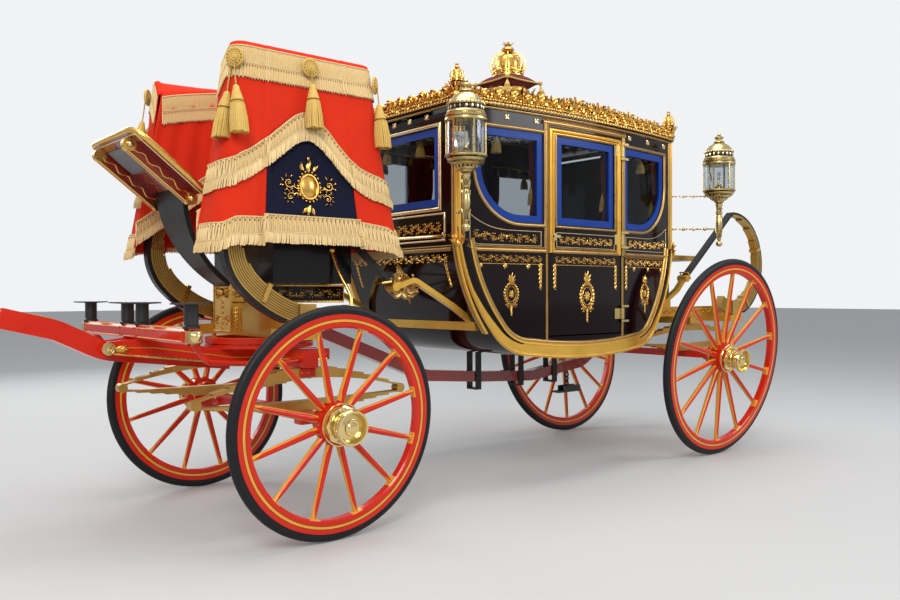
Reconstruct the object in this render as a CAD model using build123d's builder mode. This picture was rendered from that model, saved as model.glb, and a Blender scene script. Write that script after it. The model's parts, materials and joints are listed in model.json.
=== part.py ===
"""Horse-drawn state coach, with its steered fore-carriage, turning wheels and hinged doors.

Millimetres. +X points forwards, +Y to the coach's left and +Z up. The wheels stand on Z = 0 and
the origin is halfway between the pole's tip and the back of the rear springs.
"""

import os
from math import asin, atan2, cos, degrees, radians, sin

from build123d import *

os.makedirs("parts", exist_ok=True)

# Driving sizes of the whole coach
wheelbase = 3400
pole_reach = 3550
rear_reach = 1060
front_axle_x = (wheelbase + rear_reach - pole_reach) / 2
rear_axle_x = front_axle_x - wheelbase
clearance = 0.3
pin_clearance = 0.1
moving_gap = 8

# Wheels
tyre_width = 48
front_radius = 583
rear_radius = 740
front_track = 1620
rear_track = 1650
front_camber = 3.3
rear_camber = 6.5
front_spokes = 12
rear_spokes = 14
tyre_depth = 42
felloe_depth = 68
felloe_width = 52
felloe_chamfer = 8
nave_radius = 104
nave_inner_length = 112
nave_outer_length = 52
nave_neck_radius = 84
cap_radius = 84
cap_waist_radius = 68
front_cap_length = 96
rear_cap_length = 112
cap_wall = 9
dish = 22
arm_radius = 30
arm_reach = 36

# Body
body_front_x = front_axle_x - 950
body_length = 2080
body_rear_x = body_front_x - body_length
body_mid_x = (body_front_x + body_rear_x) / 2
body_end_half = 612
body_mid_half = 700
belt_z = 1530
sill_z = 945
body_bottom_z = 800
eaves_z = 2335
door_top_z = 2264
wall = 40
door_width = 720
front_corner_half = 545
under_z = 985
rocker_depth = 92
rocker_proud = 12
window_low_z = 1652
window_high_z = 2212
quarter_window_front = 122
quarter_post = 38
quarter_window_length = body_length / 2 - quarter_window_front - quarter_post - door_width / 2
quarter_window_round = 330
door_window_width = 560
front_window_half = 440
front_window_low_z = 1740
window_frame_width = 46
frame_inset = 6
frame_thickness = 26
glass_inset = 17
glass_thickness = 5
seat_depth = 440
seat_z = 1190
board = 20
cushion_height = 110
squab_thickness = 110
squab_height = 520

# Roof
cornice_height = 28
cornice_proud = 16
roof_rise = 62
roof_taper = 50
cresting_height = 92
cresting_thickness = 14
crown_x = front_axle_x - 1950
roof_cushion_half = 165
crown_radius = 122
crown_top_z = 3020
roof_top_z = eaves_z + cornice_height + roof_rise
pedestal_top_z = roof_top_z + 0.4 * (crown_top_z - roof_top_z)
roof_cushion_height = 0.158 * (crown_top_z - roof_top_z)

# Fore-carriage, the part that steers
bed_half = 560
bed_depth = 90
bed_low_z = 838
bed_high_z = 926
plate_radius = 300
plate_width = 62
plate_thickness = 20
kingpin_radius = 22
futchell_y = 72.5
futchell_width = 50
splinter_x = front_axle_x + 700
splinter_half = 750
splinter_size = 70
splinter_low_z = 995
roller_outer_y = 710
roller_inner_y = 105
roller_radius = 32
roller_cap_radius = 92
roller_cap_z = 1180
pole_width = 94.4
pole_depth = 96
pole_tip_radius = 34

# Under-springs between each axle and its bed
spring_y = 500
spring_half_length = 600
spring_width = 56
leaf = 9
leaf_count = 6
spring_eye_radius = 17

# Perch and the upper carriage
perch_width = 80
perch_depth = 72
side_beam_y = 350
side_beam_width = 70
side_beam_low_z = 1168
side_beam_high_z = 1275
carriage_front_x = front_axle_x + 222
boot_beam_half = 110
boot_beam_foot_z = 1010
carriage_rear_x = front_axle_x - 495
top_bed_low_z = 982
top_plate_gap = 6
top_bed_half = 50
rear_bed_low_z = 982
rear_beam_low_z = 1035
rear_beam_high_z = 1110
rear_block_high_z = 1180
clamp_lip = 15

# C-springs and their leather braces
c_spring_y = 500
c_spring_width = 62
c_front_centre = (front_axle_x + 125, 1465)
c_front_radius = 315
c_front_joint = -44
c_foot_radius = 650
c_foot_centre_x = c_front_centre[0] - (c_foot_radius - c_front_radius) * cos(radians(c_front_joint))
c_foot_centre_z = c_front_centre[1] - (c_foot_radius - c_front_radius) * sin(radians(c_front_joint))
c_rear_radius = 405
c_leaf = 12
c_leaves = 8
strap_thickness = 22
strap_width = 54
c_rear_centre_x = rear_axle_x - rear_reach + c_rear_radius + strap_thickness + clearance
c_rear_centre = (c_rear_centre_x, rear_beam_low_z + clamp_lip + c_rear_radius)
top_bed_high_z = 1043

# Seat, boot and cloth in front
boot_half = 360
boot_bottom_z = side_beam_high_z
boot_top_z = 1560
cloth_top_z = 2450
cloth_bottom_z = 1430
cloth_thickness = 30
footboard_half = 330

# Lamps
lamp_front_x = front_axle_x - 810
lamp_rear_x = front_axle_x - 3290
lamp_y = 850
lamp_low_z = 1560
lamp_radius = 118


def ahead(distance):
    """X of a point this far ahead of the front axle."""
    return front_axle_x + distance


def side_plane(y):
    """The plane of X and Z at this distance to the left."""
    return Plane(origin=(0, y, 0), x_dir=(1, 0, 0), z_dir=(0, -1, 0))


def block(x, y, z, mode=Mode.ADD):
    """A square block between a low and a high limit along each axis."""
    with Locations(((x[0] + x[1]) / 2, (y[0] + y[1]) / 2, (z[0] + z[1]) / 2)):
        Box(x[1] - x[0], y[1] - y[0], z[1] - z[0], mode=mode)


def bent_bar(points, bend, width, depth=None):
    """A bar bent along points: round, or width across by depth thick where a depth is given."""
    with BuildPart() as bar:
        with BuildLine() as line:
            if len(points) > 2:
                FilletPolyline(*points, radius=bend)
            else:
                Line(*points)
        start = line.wire() @ 0
        way = line.wire() % 0
        if depth is None:
            with BuildSketch(Plane(origin=start, z_dir=way)):
                Circle(width / 2)
        else:
            with BuildSketch(Plane(origin=start, x_dir=(0, 1, 0), z_dir=way)):
                Rectangle(width, depth)
        sweep(path=line.wire())
    return bar.part


def arc_strip(start, middle, end, y, width, thickness):
    """A flat strip bent along one arc in a plane of constant Y."""
    with BuildPart() as strip:
        with BuildLine(side_plane(y)) as line:
            ThreePointArc(start, middle, end)
        with BuildSketch(Plane(origin=line.wire() @ 0, x_dir=(0, 1, 0), z_dir=line.wire() % 0)):
            Rectangle(width, thickness)
        sweep(path=line.wire())
    return strip.part


def arc_band(centre, inner, outer, start, size, y, width):
    """A slice of a ring about a centre in the X-Z plane, width across."""
    end = start + size
    corner = [
        (centre[0] + r * cos(radians(a)), centre[1] + r * sin(radians(a)))
        for r, a in ((inner, start), (outer, start), (inner, end), (outer, end))
    ]
    with BuildPart() as band:
        with BuildSketch(side_plane(y)):
            with BuildLine():
                CenterArc(centre, outer, start, size)
                CenterArc(centre, inner, start, size)
                Line(corner[0], corner[1])
                Line(corner[2], corner[3])
            make_face()
        extrude(amount=width / 2, both=True)
    return band.part


def turned(x, y, profile):
    """A turned piece on an upright axis; the profile lists radius and height from the bottom up."""
    with BuildPart() as piece:
        with BuildSketch(Plane(origin=(x, y, 0), x_dir=(1, 0, 0), z_dir=(0, -1, 0))):
            with BuildLine():
                Polyline((0, profile[0][1]), *profile, (0, profile[-1][1]), close=True)
            make_face()
        revolve(axis=Axis((x, y, 0), (0, 0, 1)))
    return piece.part


def prism(outline, depth, mode=Mode.ADD):
    """Push a placed outline along its own normal."""
    extrude(outline, amount=depth, dir=outline.face().normal_at(), mode=mode)


def save(piece, name):
    """Label a finished piece and write it out."""
    piece.part.label = name
    export_step(piece.part, f"parts/{name}.step")


def mirrored(part):
    """The same piece on the other side of the coach."""
    return mirror(part, about=Plane.XZ, mode=Mode.PRIVATE)


# Wheels: tyre, wooden wheel and brass hub cap, built on the left and mirrored to the right
def wheel_plane(axle_x, radius, track, camber):
    """The plane through the middle of a left tyre; its normal points out along the axle arm."""
    crown = tyre_width / 2
    hub_z = (radius - crown) * cos(radians(camber)) + crown
    return Plane(
        origin=(axle_x, track / 2, hub_z),
        x_dir=(1, 0, 0),
        z_dir=(0, cos(radians(camber)), -sin(radians(camber))),
    )


def section_plane(hub):
    """A plane that holds the wheel's axis: local x runs outwards and local y is the radius."""
    return Plane(origin=hub.origin, x_dir=hub.z_dir, z_dir=hub.y_dir)


def tyre_part(hub, radius):
    crown = tyre_width / 2
    inner = radius - tyre_depth
    with BuildPart() as tyre:
        with BuildSketch(section_plane(hub)):
            with BuildLine():
                Line((-crown, inner), (crown, inner))
                Line((crown, inner), (crown, radius - crown))
                ThreePointArc((crown, radius - crown), (0, radius), (-crown, radius - crown))
                Line((-crown, radius - crown), (-crown, inner))
            make_face()
        revolve(axis=Axis(hub.origin, hub.z_dir))
    return tyre.part


def wheel_part(hub, radius, spokes):
    outer = radius - tyre_depth - clearance
    inner = outer - felloe_depth
    half = felloe_width / 2
    bore = arm_radius + pin_clearance
    nave_profile = (
        (-nave_inner_length, bore),
        (-nave_inner_length, nave_neck_radius - 8),
        (-dish - 34, nave_neck_radius),
        (-dish - 30, nave_radius),
        (-dish + 30, nave_radius),
        (-dish + 34, nave_neck_radius),
        (nave_outer_length, nave_neck_radius - 4),
        (nave_outer_length, bore),
    )
    with BuildPart() as wheel:
        with BuildSketch(section_plane(hub)):
            with BuildLine():
                Polyline(*nave_profile, close=True)
            make_face()
            with BuildLine():
                Polyline(
                    (-half, outer),
                    (half, outer),
                    (half, inner + felloe_chamfer),
                    (half - felloe_chamfer, inner),
                    (-half + felloe_chamfer, inner),
                    (-half, inner + felloe_chamfer),
                    close=True,
                )
            make_face()
        revolve(axis=Axis(hub.origin, hub.z_dir))
        for index in range(spokes):
            turn = 360 * (index + 0.5) / spokes
            way = hub.x_dir.rotate(Axis((0, 0, 0), hub.z_dir), turn)
            foot = hub.origin + way * (nave_radius - 12) - hub.z_dir * dish
            tip = hub.origin + way * (inner + 14)
            along = (tip - foot).normalized()
            with BuildSketch(Plane(origin=foot, x_dir=hub.z_dir, z_dir=along)):
                Ellipse(23, 19)
            with BuildSketch(Plane(origin=tip, x_dir=hub.z_dir, z_dir=along)):
                Ellipse(15, 13)
            loft()
    return wheel.part


def cap_part(hub, length):
    start = nave_outer_length + clearance
    end = start + length
    profile = (
        (start, 0),
        (start, nave_neck_radius - 4),
        (start + 12, nave_neck_radius - 4),
        (start + 16, cap_waist_radius),
        (start + 0.55 * length, cap_waist_radius),
        (end - 14, cap_radius),
        (end, cap_radius),
        (end, cap_radius - cap_wall),
        (end - 26, cap_radius - cap_wall),
        (end - 26, cap_radius / 2),
        (end - 12, cap_radius / 2 - 4),
        (end - 12, 0),
    )
    with BuildPart() as cap:
        with BuildSketch(section_plane(hub)):
            with BuildLine():
                Polyline(*profile, close=True)
            make_face()
        revolve(axis=Axis(hub.origin, hub.z_dir))
    return cap.part


front_hub = wheel_plane(front_axle_x, front_radius, front_track, front_camber)
rear_hub = wheel_plane(rear_axle_x, rear_radius, rear_track, rear_camber)
wheel_table = (
    # end, hub plane, radius, spokes, cap length
    ("f", front_hub, front_radius, front_spokes, front_cap_length),
    ("r", rear_hub, rear_radius, rear_spokes, rear_cap_length),
)
for end, hub, radius, spokes, cap_length in wheel_table:
    left_parts = {
        "tyre": tyre_part(hub, radius),
        "wheel": wheel_part(hub, radius, spokes),
        "hub_cap": cap_part(hub, cap_length),
    }
    for piece_name, left_part in left_parts.items():
        for side, part in (("l", left_part), ("r", mirrored(left_part))):
            with BuildPart() as wheel_piece:
                add(part)
            save(wheel_piece, f"{piece_name}_{end}{side}")


# Axles: a square bar with a cambered arm and a collar at each end
def axle_bar_z(hub, camber):
    """Height of the square bar's middle, where the drooping arm meets it."""
    return hub.origin.Z + nave_inner_length * sin(radians(camber))


def axle_part(hub, camber, bar_size):
    bar_z = axle_bar_z(hub, camber)
    collar_start = nave_inner_length + moving_gap
    bar_half = hub.origin.Y - collar_start - 10
    with BuildPart() as axle:
        block(
            (hub.origin.X - bar_size / 2, hub.origin.X + bar_size / 2),
            (-bar_half, bar_half),
            (bar_z - bar_size / 2, bar_z + bar_size / 2),
        )
        arm_start = hub.origin - hub.z_dir * (collar_start + 40)
        with BuildSketch(Plane(origin=arm_start, x_dir=hub.x_dir, z_dir=hub.z_dir)):
            Circle(arm_radius)
        extrude(amount=collar_start + 40 + arm_reach)
        with BuildSketch(Plane(origin=arm_start, x_dir=hub.x_dir, z_dir=hub.z_dir)):
            Circle(arm_radius + 16)
        extrude(amount=40)
        mirror(about=Plane.XZ)
    return axle.part


axle_size = 52
with BuildPart() as front_axle:
    add(axle_part(front_hub, front_camber, axle_size))
save(front_axle, "front_axle")
with BuildPart() as rear_axle:
    add(axle_part(rear_hub, rear_camber, axle_size))
save(rear_axle, "rear_axle")


# Under-springs: a full ellipse of leaves between the axle and the bed, on each side
def leaf_pack(x, y, mid_z, end_z):
    """Half an ellipse: leaves about one centre, from mid_z at the clip to end_z at the eyes."""
    rise = end_z - mid_z
    bow_radius = (spring_half_length**2 + rise**2) / (2 * abs(rise))
    upright = 1 if rise > 0 else -1
    centre = (x, mid_z + upright * bow_radius)
    with BuildPart() as pack:
        for index in range(leaf_count):
            half = spring_half_length * (1 - 0.14 * index)
            middle = bow_radius + index * leaf
            swing = degrees(asin(half / middle))
            add(
                arc_band(
                    centre,
                    middle - leaf / 2,
                    middle + leaf / 2,
                    -upright * 90 - swing,
                    2 * swing,
                    y,
                    spring_width,
                )
            )
    return pack.part


def ellipse_spring(x, y, seat_z, eye_z, top_z):
    """Leaves that bow down to the axle seat and up to the bed, joined at rolled eyes."""
    pack_depth = (leaf_count - 0.5) * leaf
    with BuildPart() as spring:
        add(leaf_pack(x, y, seat_z + pack_depth, eye_z - spring_eye_radius))
        add(leaf_pack(x, y, top_z - pack_depth, eye_z + spring_eye_radius))
        for eye_x in (x - spring_half_length, x + spring_half_length):
            with BuildSketch(side_plane(y)):
                with Locations((eye_x, eye_z)):
                    Circle(spring_eye_radius + leaf)
            extrude(amount=spring_width / 2, both=True)
    return spring.part


front_bar_top = axle_bar_z(front_hub, front_camber) + axle_size / 2
rear_bar_top = axle_bar_z(rear_hub, rear_camber) + axle_size / 2
front_eye_z = 690
rear_eye_z = 862
with BuildPart() as front_under_springs:
    front_spring = ellipse_spring(front_axle_x, spring_y, front_bar_top, front_eye_z, bed_low_z)
    add(front_spring)
    add(mirrored(front_spring))
save(front_under_springs, "front_under_springs")
with BuildPart() as rear_under_springs:
    rear_spring = ellipse_spring(rear_axle_x, spring_y, rear_bar_top, rear_eye_z, rear_bed_low_z)
    add(rear_spring)
    add(mirrored(rear_spring))
save(rear_under_springs, "rear_under_springs")

# Futchells: two long timbers through the bed that take the pole and the splinter bar
futchell_rear_x = ahead(-400)
futchell_front_x = ahead(875)


def futchell_part(y):
    with BuildPart() as timber:
        with BuildSketch(side_plane(y)):
            with BuildLine():
                Polyline(
                    (futchell_rear_x, 835),
                    (ahead(200), 838),
                    (ahead(875), 925),
                    (ahead(885), 955),
                    (ahead(860), 985),
                    (ahead(740), splinter_low_z),
                    (ahead(640), splinter_low_z),
                    (ahead(200), 912),
                    (futchell_rear_x, 900),
                    close=True,
                )
            make_face()
        extrude(amount=futchell_width / 2, both=True)
    return timber.part


with BuildPart() as futchells:
    add(futchell_part(futchell_y))
    add(futchell_part(-futchell_y))
save(futchells, "futchells")

# Lower wheel plate: the ring of the turntable on the bed that lies across the springs
with BuildPart() as lower_wheel_plate:
    block(
        (front_axle_x - bed_depth / 2, front_axle_x + bed_depth / 2),
        (-bed_half, bed_half),
        (bed_low_z, bed_high_z),
    )
    with BuildSketch(Plane.XY.offset(bed_high_z)):
        with Locations((front_axle_x, 0)):
            Circle(plate_radius)
            Circle(plate_radius - plate_width, mode=Mode.SUBTRACT)
            Rectangle(bed_depth, 2 * plate_radius - plate_width)
    extrude(amount=plate_thickness)
    for y in (futchell_y, -futchell_y):
        add(futchell_part(y), mode=Mode.SUBTRACT)
    with BuildSketch(Plane.XY):
        with Locations((front_axle_x, 0)):
            Circle(kingpin_radius + pin_clearance)
    extrude(amount=1200, mode=Mode.SUBTRACT)
save(lower_wheel_plate, "lower_wheel_plate")

# Splinter bar with brass ends and the iron stays that tie it back to the bed
splinter_high_z = splinter_low_z + splinter_size
with BuildPart() as splinter_bar:
    block(
        (splinter_x - splinter_size / 2, splinter_x + splinter_size / 2),
        (-splinter_half, splinter_half),
        (splinter_low_z, splinter_high_z),
    )
    chamfer(splinter_bar.edges().filter_by(Axis.Y), 10)
    stay = bent_bar(
        [
            (splinter_x, 690, splinter_low_z + 20),
            (splinter_x - 90, 680, 905),
            (ahead(200), 560, 870),
            (ahead(bed_depth / 2), 530, 880),
        ],
        60,
        26,
    )
    add(stay)
    add(mirrored(stay))
    add(lower_wheel_plate.part, mode=Mode.SUBTRACT)
save(splinter_bar, "splinter_bar")

# Roller bolts: four posts with wide caps, which the traces hook over
with BuildPart() as roller_bolts:
    for y in (roller_outer_y, roller_inner_y, -roller_inner_y, -roller_outer_y):
        add(
            turned(
                splinter_x,
                y,
                (
                    (roller_radius + 6, splinter_high_z),
                    (roller_radius + 6, splinter_high_z + 12),
                    (roller_radius, splinter_high_z + 16),
                    (roller_radius, roller_cap_z - 10),
                    (roller_cap_radius, roller_cap_z - 6),
                    (roller_cap_radius, roller_cap_z),
                ),
            )
        )
save(roller_bolts, "roller_bolts")

# Pole between the futchells, rising ahead of them and thinning to its tip
pole_root = ahead(200)
pole_bend_end = (ahead(1330), 1112)
pole_tip_x = ahead(pole_reach - 60)
pole_tip_z = 1240
with BuildPart() as pole:
    add(
        bent_bar(
            [
                (pole_root, 0, 858),
                (ahead(870), 0, 940),
                (ahead(1090), 0, 1050),
                (pole_bend_end[0], 0, pole_bend_end[1]),
            ],
            320,
            pole_width,
            pole_depth,
        )
    )
    pole_rise = degrees(atan2(pole_tip_z - pole_bend_end[1], pole_tip_x - pole_bend_end[0]))
    pole_way = Vector(cos(radians(pole_rise)), 0, sin(radians(pole_rise)))
    bend_point = Vector(pole_bend_end[0] - 12, 0, pole_bend_end[1] - 1)
    with BuildSketch(Plane(origin=bend_point, x_dir=(0, 1, 0), z_dir=pole_way)):
        Ellipse(pole_width / 2, pole_depth / 2)
    with BuildSketch(
        Plane(origin=(pole_tip_x, 0, pole_tip_z), x_dir=(0, 1, 0), z_dir=pole_way)
    ):
        Ellipse(pole_tip_radius, pole_tip_radius)
    loft()
save(pole, "pole")

# Pole head: an iron cap with a ring on each side for the pole straps
pole_cap_length = 44
ring_inner_radius = 24
ring_outer_radius = 34
ring_thickness = 12
with BuildPart() as pole_head:
    cap_plane = Plane(origin=(pole_tip_x, 0, pole_tip_z), x_dir=(0, 1, 0), z_dir=pole_way)
    with BuildSketch(cap_plane):
        Circle(pole_tip_radius + 6)
    extrude(amount=pole_cap_length)
    head_centre = Vector(pole_tip_x, 0, pole_tip_z) + pole_way * (pole_cap_length / 2)
    for side in (1, -1):
        ring_centre = head_centre + Vector(0, side * (pole_tip_radius + ring_outer_radius - 4), 0)
        with BuildSketch(Plane(origin=ring_centre, x_dir=(1, 0, 0), z_dir=(0, 0, 1))):
            Circle(ring_outer_radius)
            Circle(ring_inner_radius, mode=Mode.SUBTRACT)
        extrude(amount=ring_thickness / 2, both=True)
    front_limit = front_axle_x + pole_reach
    block((pole_tip_x + 40, front_limit), (-14, 14), (pole_tip_z - 14, pole_tip_z + 20))
save(pole_head, "pole_head")

# Perch: the long bar that ties the two carriages, dipping under the body
perch_points = [
    (ahead(-top_bed_half), 0, 1022),
    (ahead(-320), 0, 1022),
    (ahead(-1170), 0, 685),
    (ahead(-1640), 0, 648),
    (ahead(-2150), 0, 622),
    (ahead(-2700), 0, 690),
    (rear_axle_x + 240, 0, 960),
    (rear_axle_x + 50, 0, 1010),
]
with BuildPart() as perch:
    add(bent_bar(perch_points, 260, perch_width, perch_depth))
save(perch, "perch")


# Upper fore-carriage: the carved beam under the boot, the bed over the turntable, its ring and the kingpin
def on_bed_x(half):
    return (front_axle_x - half, front_axle_x + half)


with BuildPart() as upper_fore_carriage:
    beam_y = (-boot_beam_half, boot_beam_half)
    block((carriage_rear_x, carriage_front_x), beam_y, (side_beam_low_z, side_beam_high_z))
    block((carriage_front_x - 62, carriage_front_x), beam_y, (boot_beam_foot_z, side_beam_low_z))
    block(on_bed_x(top_bed_half), (-540, 540), (top_bed_low_z, top_bed_high_z))
    block(on_bed_x(top_bed_half), (-400, 400), (top_bed_high_z, side_beam_low_z))
    for side in (1, -1):
        y_low, y_high = sorted((side * 455, side * 545))
        block(
            (front_axle_x - top_bed_half, front_axle_x + 170),
            (y_low, y_high),
            (top_bed_low_z, top_bed_high_z),
        )
    with BuildSketch(Plane.XY.offset(bed_low_z - 8)):
        with Locations((front_axle_x, 0)):
            Circle(kingpin_radius)
    extrude(amount=top_bed_low_z - bed_low_z + 8 + 10)
save(upper_fore_carriage, "upper_fore_carriage")

top_plate_low_z = bed_high_z + plate_thickness + top_plate_gap
with BuildPart() as upper_wheel_plate:
    with BuildSketch(Plane.XY.offset(top_plate_low_z)):
        with Locations((front_axle_x, 0)):
            Circle(plate_radius)
            Circle(plate_radius - plate_width, mode=Mode.SUBTRACT)
            Rectangle(bed_depth, 2 * plate_radius - plate_width)
            Circle(kingpin_radius + pin_clearance, mode=Mode.SUBTRACT)
    extrude(amount=top_bed_low_z - top_plate_low_z)
save(upper_wheel_plate, "upper_wheel_plate")

# Rear carriage: side beams, three cross beds and the carved block over the axle
with BuildPart() as rear_carriage:
    for side in (1, -1):
        y_low, y_high = sorted((side * side_beam_y - side_beam_width / 2, side * side_beam_y + side_beam_width / 2))
        block(
            (c_rear_centre_x - 150, ahead(-3200)), (y_low, y_high), (rear_beam_low_z, rear_beam_high_z)
        )
    block((rear_axle_x - 45, rear_axle_x + 45), (-560, 560), (rear_bed_low_z, rear_beam_low_z))
    block((rear_axle_x - 45, rear_axle_x + 45), (-315, 315), (rear_beam_low_z, rear_block_high_z))
    block((c_rear_centre_x - 90, c_rear_centre_x + 90), (-545, 545), (985, rear_beam_low_z))
    add(perch.part, mode=Mode.SUBTRACT)
save(rear_carriage, "rear_carriage")


# C-springs: packs of curved leaves clamped at the bottom, the outermost leaf the longest.
# A shape is a bow arc's centre, radius and way it opens, the angle at which its foot arc takes over,
# the foot arc's centre and radius, and the angles of the outer leaf's two ends.
front_c = (
    c_front_centre,
    c_front_radius,
    1,
    c_front_joint,
    (c_foot_centre_x, c_foot_centre_z),
    c_foot_radius,
    (-104, 115),
)
rear_c = (c_rear_centre, c_rear_radius, -1, -90, c_rear_centre, c_rear_radius, (-122, 94))
leaf_step = 20


def c_band(shape, inner, outer, start, end, y, width):
    """A strip between two depths from the outer leaf's outer face, along the foot arc and the bow arc."""
    centre, radius, turn, joint, foot_centre, foot_radius, ends = shape
    with BuildPart() as band:
        for arc_centre, arc_radius, low, high in (
            (centre, radius, max(start, joint), end),
            (foot_centre, foot_radius, start, min(joint, end)),
        ):
            if high > low:
                first = low if turn > 0 else 180 - high
                add(arc_band(arc_centre, arc_radius + inner, arc_radius + outer, first, high - low, y, width))
    return band.part


def c_spring(shape, clamp_x, y):
    """The leaves with their clamp; each next leaf is a step shorter at its tip."""
    start, end = shape[6]
    foot_centre, foot_radius = shape[4], shape[5]
    clamp_low = foot_centre[1] - (foot_radius**2 - (clamp_x - foot_centre[0]) ** 2) ** 0.5 - clamp_lip
    with BuildPart() as spring:
        for index in range(c_leaves):
            tip = end - leaf_step * index
            add(c_band(shape, -(index + 1) * c_leaf, -index * c_leaf, start, tip, y, c_spring_width))
        block(
            (clamp_x - 48, clamp_x + 48),
            (y - c_spring_width / 2 - 8, y + c_spring_width / 2 + 8),
            (clamp_low, clamp_low + clamp_lip + c_leaves * c_leaf + 12),
        )
    return spring.part


front_clamp_x = front_axle_x
rear_clamp_x = c_rear_centre[0]
with BuildPart() as front_c_springs:
    near = c_spring(front_c, front_clamp_x, c_spring_y)
    add(near)
    add(mirrored(near))
    add(upper_fore_carriage.part, mode=Mode.SUBTRACT)
save(front_c_springs, "front_c_springs")
with BuildPart() as rear_c_springs:
    near = c_spring(rear_c, rear_clamp_x, c_spring_y)
    add(near)
    add(mirrored(near))
save(rear_c_springs, "rear_c_springs")

# Braces: the leather straps that run round each C-spring and down to the body loops
front_loop_end = (ahead(-565), 1258)
rear_loop_end = (ahead(-3350), 1330)
front_strap_start = -69
rear_strap_start = -70


def brace(shape, clamp_x, strap_start, loop_end, y):
    centre, radius, turn = shape[:3]
    tip_angle = shape[6][1] if turn > 0 else 180 - shape[6][1]
    middle = radius + clearance + strap_thickness / 2
    top = (centre[0] + middle * cos(radians(tip_angle)), y, centre[1] + middle * sin(radians(tip_angle)))
    with BuildPart() as strap:
        add(c_band(shape, clearance, clearance + strap_thickness, strap_start, shape[6][1], y, strap_width))
        add(bent_bar([top, (loop_end[0], y, loop_end[1])], 0, strap_width, strap_thickness))
        add(c_spring(shape, clamp_x, y), mode=Mode.SUBTRACT)
    return strap.part


with BuildPart() as braces:
    for shape, clamp_x, strap_start, loop_end in (
        (front_c, front_clamp_x, front_strap_start, front_loop_end),
        (rear_c, rear_clamp_x, rear_strap_start, rear_loop_end),
    ):
        near = brace(shape, clamp_x, strap_start, loop_end, c_spring_y)
        add(near)
        add(mirrored(near))
    add(upper_fore_carriage.part, mode=Mode.SUBTRACT)
save(braces, "braces")


# Body: one bowed hull, cut into the panels that the real body is framed in
far = body_mid_half + 60


def body_plan(inset):
    """The bowed sides seen from above: where two wide circles cross."""
    sag = body_mid_half - body_end_half
    bow = ((body_length / 2) ** 2 + sag**2) / (2 * sag)
    with BuildSketch() as plan:
        with Locations((body_mid_x, body_mid_half - bow)):
            Circle(bow - inset)
        with Locations((body_mid_x, bow - body_mid_half)):
            Circle(bow - inset, mode=Mode.INTERSECT)
    return plan.sketch


def body_side(inset):
    """The side view: upright above the belt, sweeping under to the bottom at both ends."""
    half = body_length / 2
    with BuildSketch(side_plane(far)) as side:
        with BuildLine():
            for way in (1, -1):
                Line((body_mid_x + way * half, eaves_z), (body_mid_x + way * half, belt_z))
                ThreePointArc(
                    (body_mid_x + way * half, belt_z),
                    (body_mid_x + way * (half - 82), 1240),
                    (body_mid_x + way * (half - 235), 985),
                )
                ThreePointArc(
                    (body_mid_x + way * (half - 235), 985),
                    (body_mid_x + way * (half - 345), 882),
                    (body_mid_x + way * (half - 520), 832),
                )
            ThreePointArc(
                (body_mid_x + half - 520, 832),
                (body_mid_x, body_bottom_z),
                (body_mid_x - half + 520, 832),
            )
            Line((body_mid_x - half, eaves_z), (body_mid_x + half, eaves_z))
        make_face()
        if inset:
            offset(amount=-inset, kind=Kind.INTERSECTION, mode=Mode.REPLACE)
    return side.sketch


def hull(inset, open_top=0):
    """The body's outer form, moved in by inset on its sides, ends and bottom."""
    with BuildPart() as form:
        prism(body_side(inset), 2 * far)
        if open_top:
            block(
                (body_rear_x - 10, body_front_x + 10),
                (-body_mid_half, body_mid_half),
                (eaves_z - inset - 1, eaves_z + open_top),
            )
        prism(body_plan(inset), eaves_z + 200, Mode.INTERSECT)
    return form.part


body_hull = hull(0)
with BuildPart() as body_wall:
    add(body_hull)
    add(hull(wall, open_top=10), mode=Mode.SUBTRACT)
with BuildPart() as frame_layer:
    add(hull(frame_inset))
    add(hull(frame_inset + frame_thickness), mode=Mode.SUBTRACT)
with BuildPart() as glass_layer:
    add(hull(glass_inset))
    add(hull(glass_inset + glass_thickness), mode=Mode.SUBTRACT)
cabin_form = hull(wall, open_top=10)

door_front_x = body_mid_x + door_width / 2
door_rear_x = body_mid_x - door_width / 2


def quarter_window(way, inset):
    """A quarter window in the side view; the corner by the coach's end is widely rounded."""
    outer = body_mid_x + way * (body_length / 2 - quarter_window_front - inset)
    inner = body_mid_x + way * (body_length / 2 - quarter_window_front - quarter_window_length + inset)
    low = window_low_z + inset
    high = window_high_z - inset
    bend = quarter_window_round - inset
    with BuildSketch(side_plane(far)) as window:
        with BuildLine():
            Line((outer, high), (inner, high))
            Line((inner, high), (inner, low))
            Line((inner, low), (outer - way * bend, low))
            ThreePointArc(
                (outer - way * bend, low),
                (outer - way * bend * (1 - cos(radians(45))), low + bend * (1 - sin(radians(45)))),
                (outer, low + bend),
            )
            Line((outer, low + bend), (outer, high))
        make_face()
    return window.sketch


def door_window(inset):
    with BuildSketch(side_plane(far)) as window:
        with Locations((body_mid_x, (window_low_z + window_high_z) / 2)):
            Rectangle(door_window_width - 2 * inset, window_high_z - window_low_z - 2 * inset)
    return window.sketch


def front_window(inset):
    with BuildSketch(Plane.YZ.offset(body_front_x - 120)) as window:
        with Locations((0, (front_window_low_z + window_high_z) / 2)):
            Rectangle(2 * (front_window_half - inset), window_high_z - front_window_low_z - 2 * inset)
    return window.sketch


def pane(layer, outline, hole=None):
    """The piece of a layer inside a left or front window's outline, as a frame where it has a hole."""
    with BuildPart() as piece:
        prism(outline, far)
        if hole:
            prism(hole, far, Mode.SUBTRACT)
        add(layer, mode=Mode.INTERSECT)
    return piece.part


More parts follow.
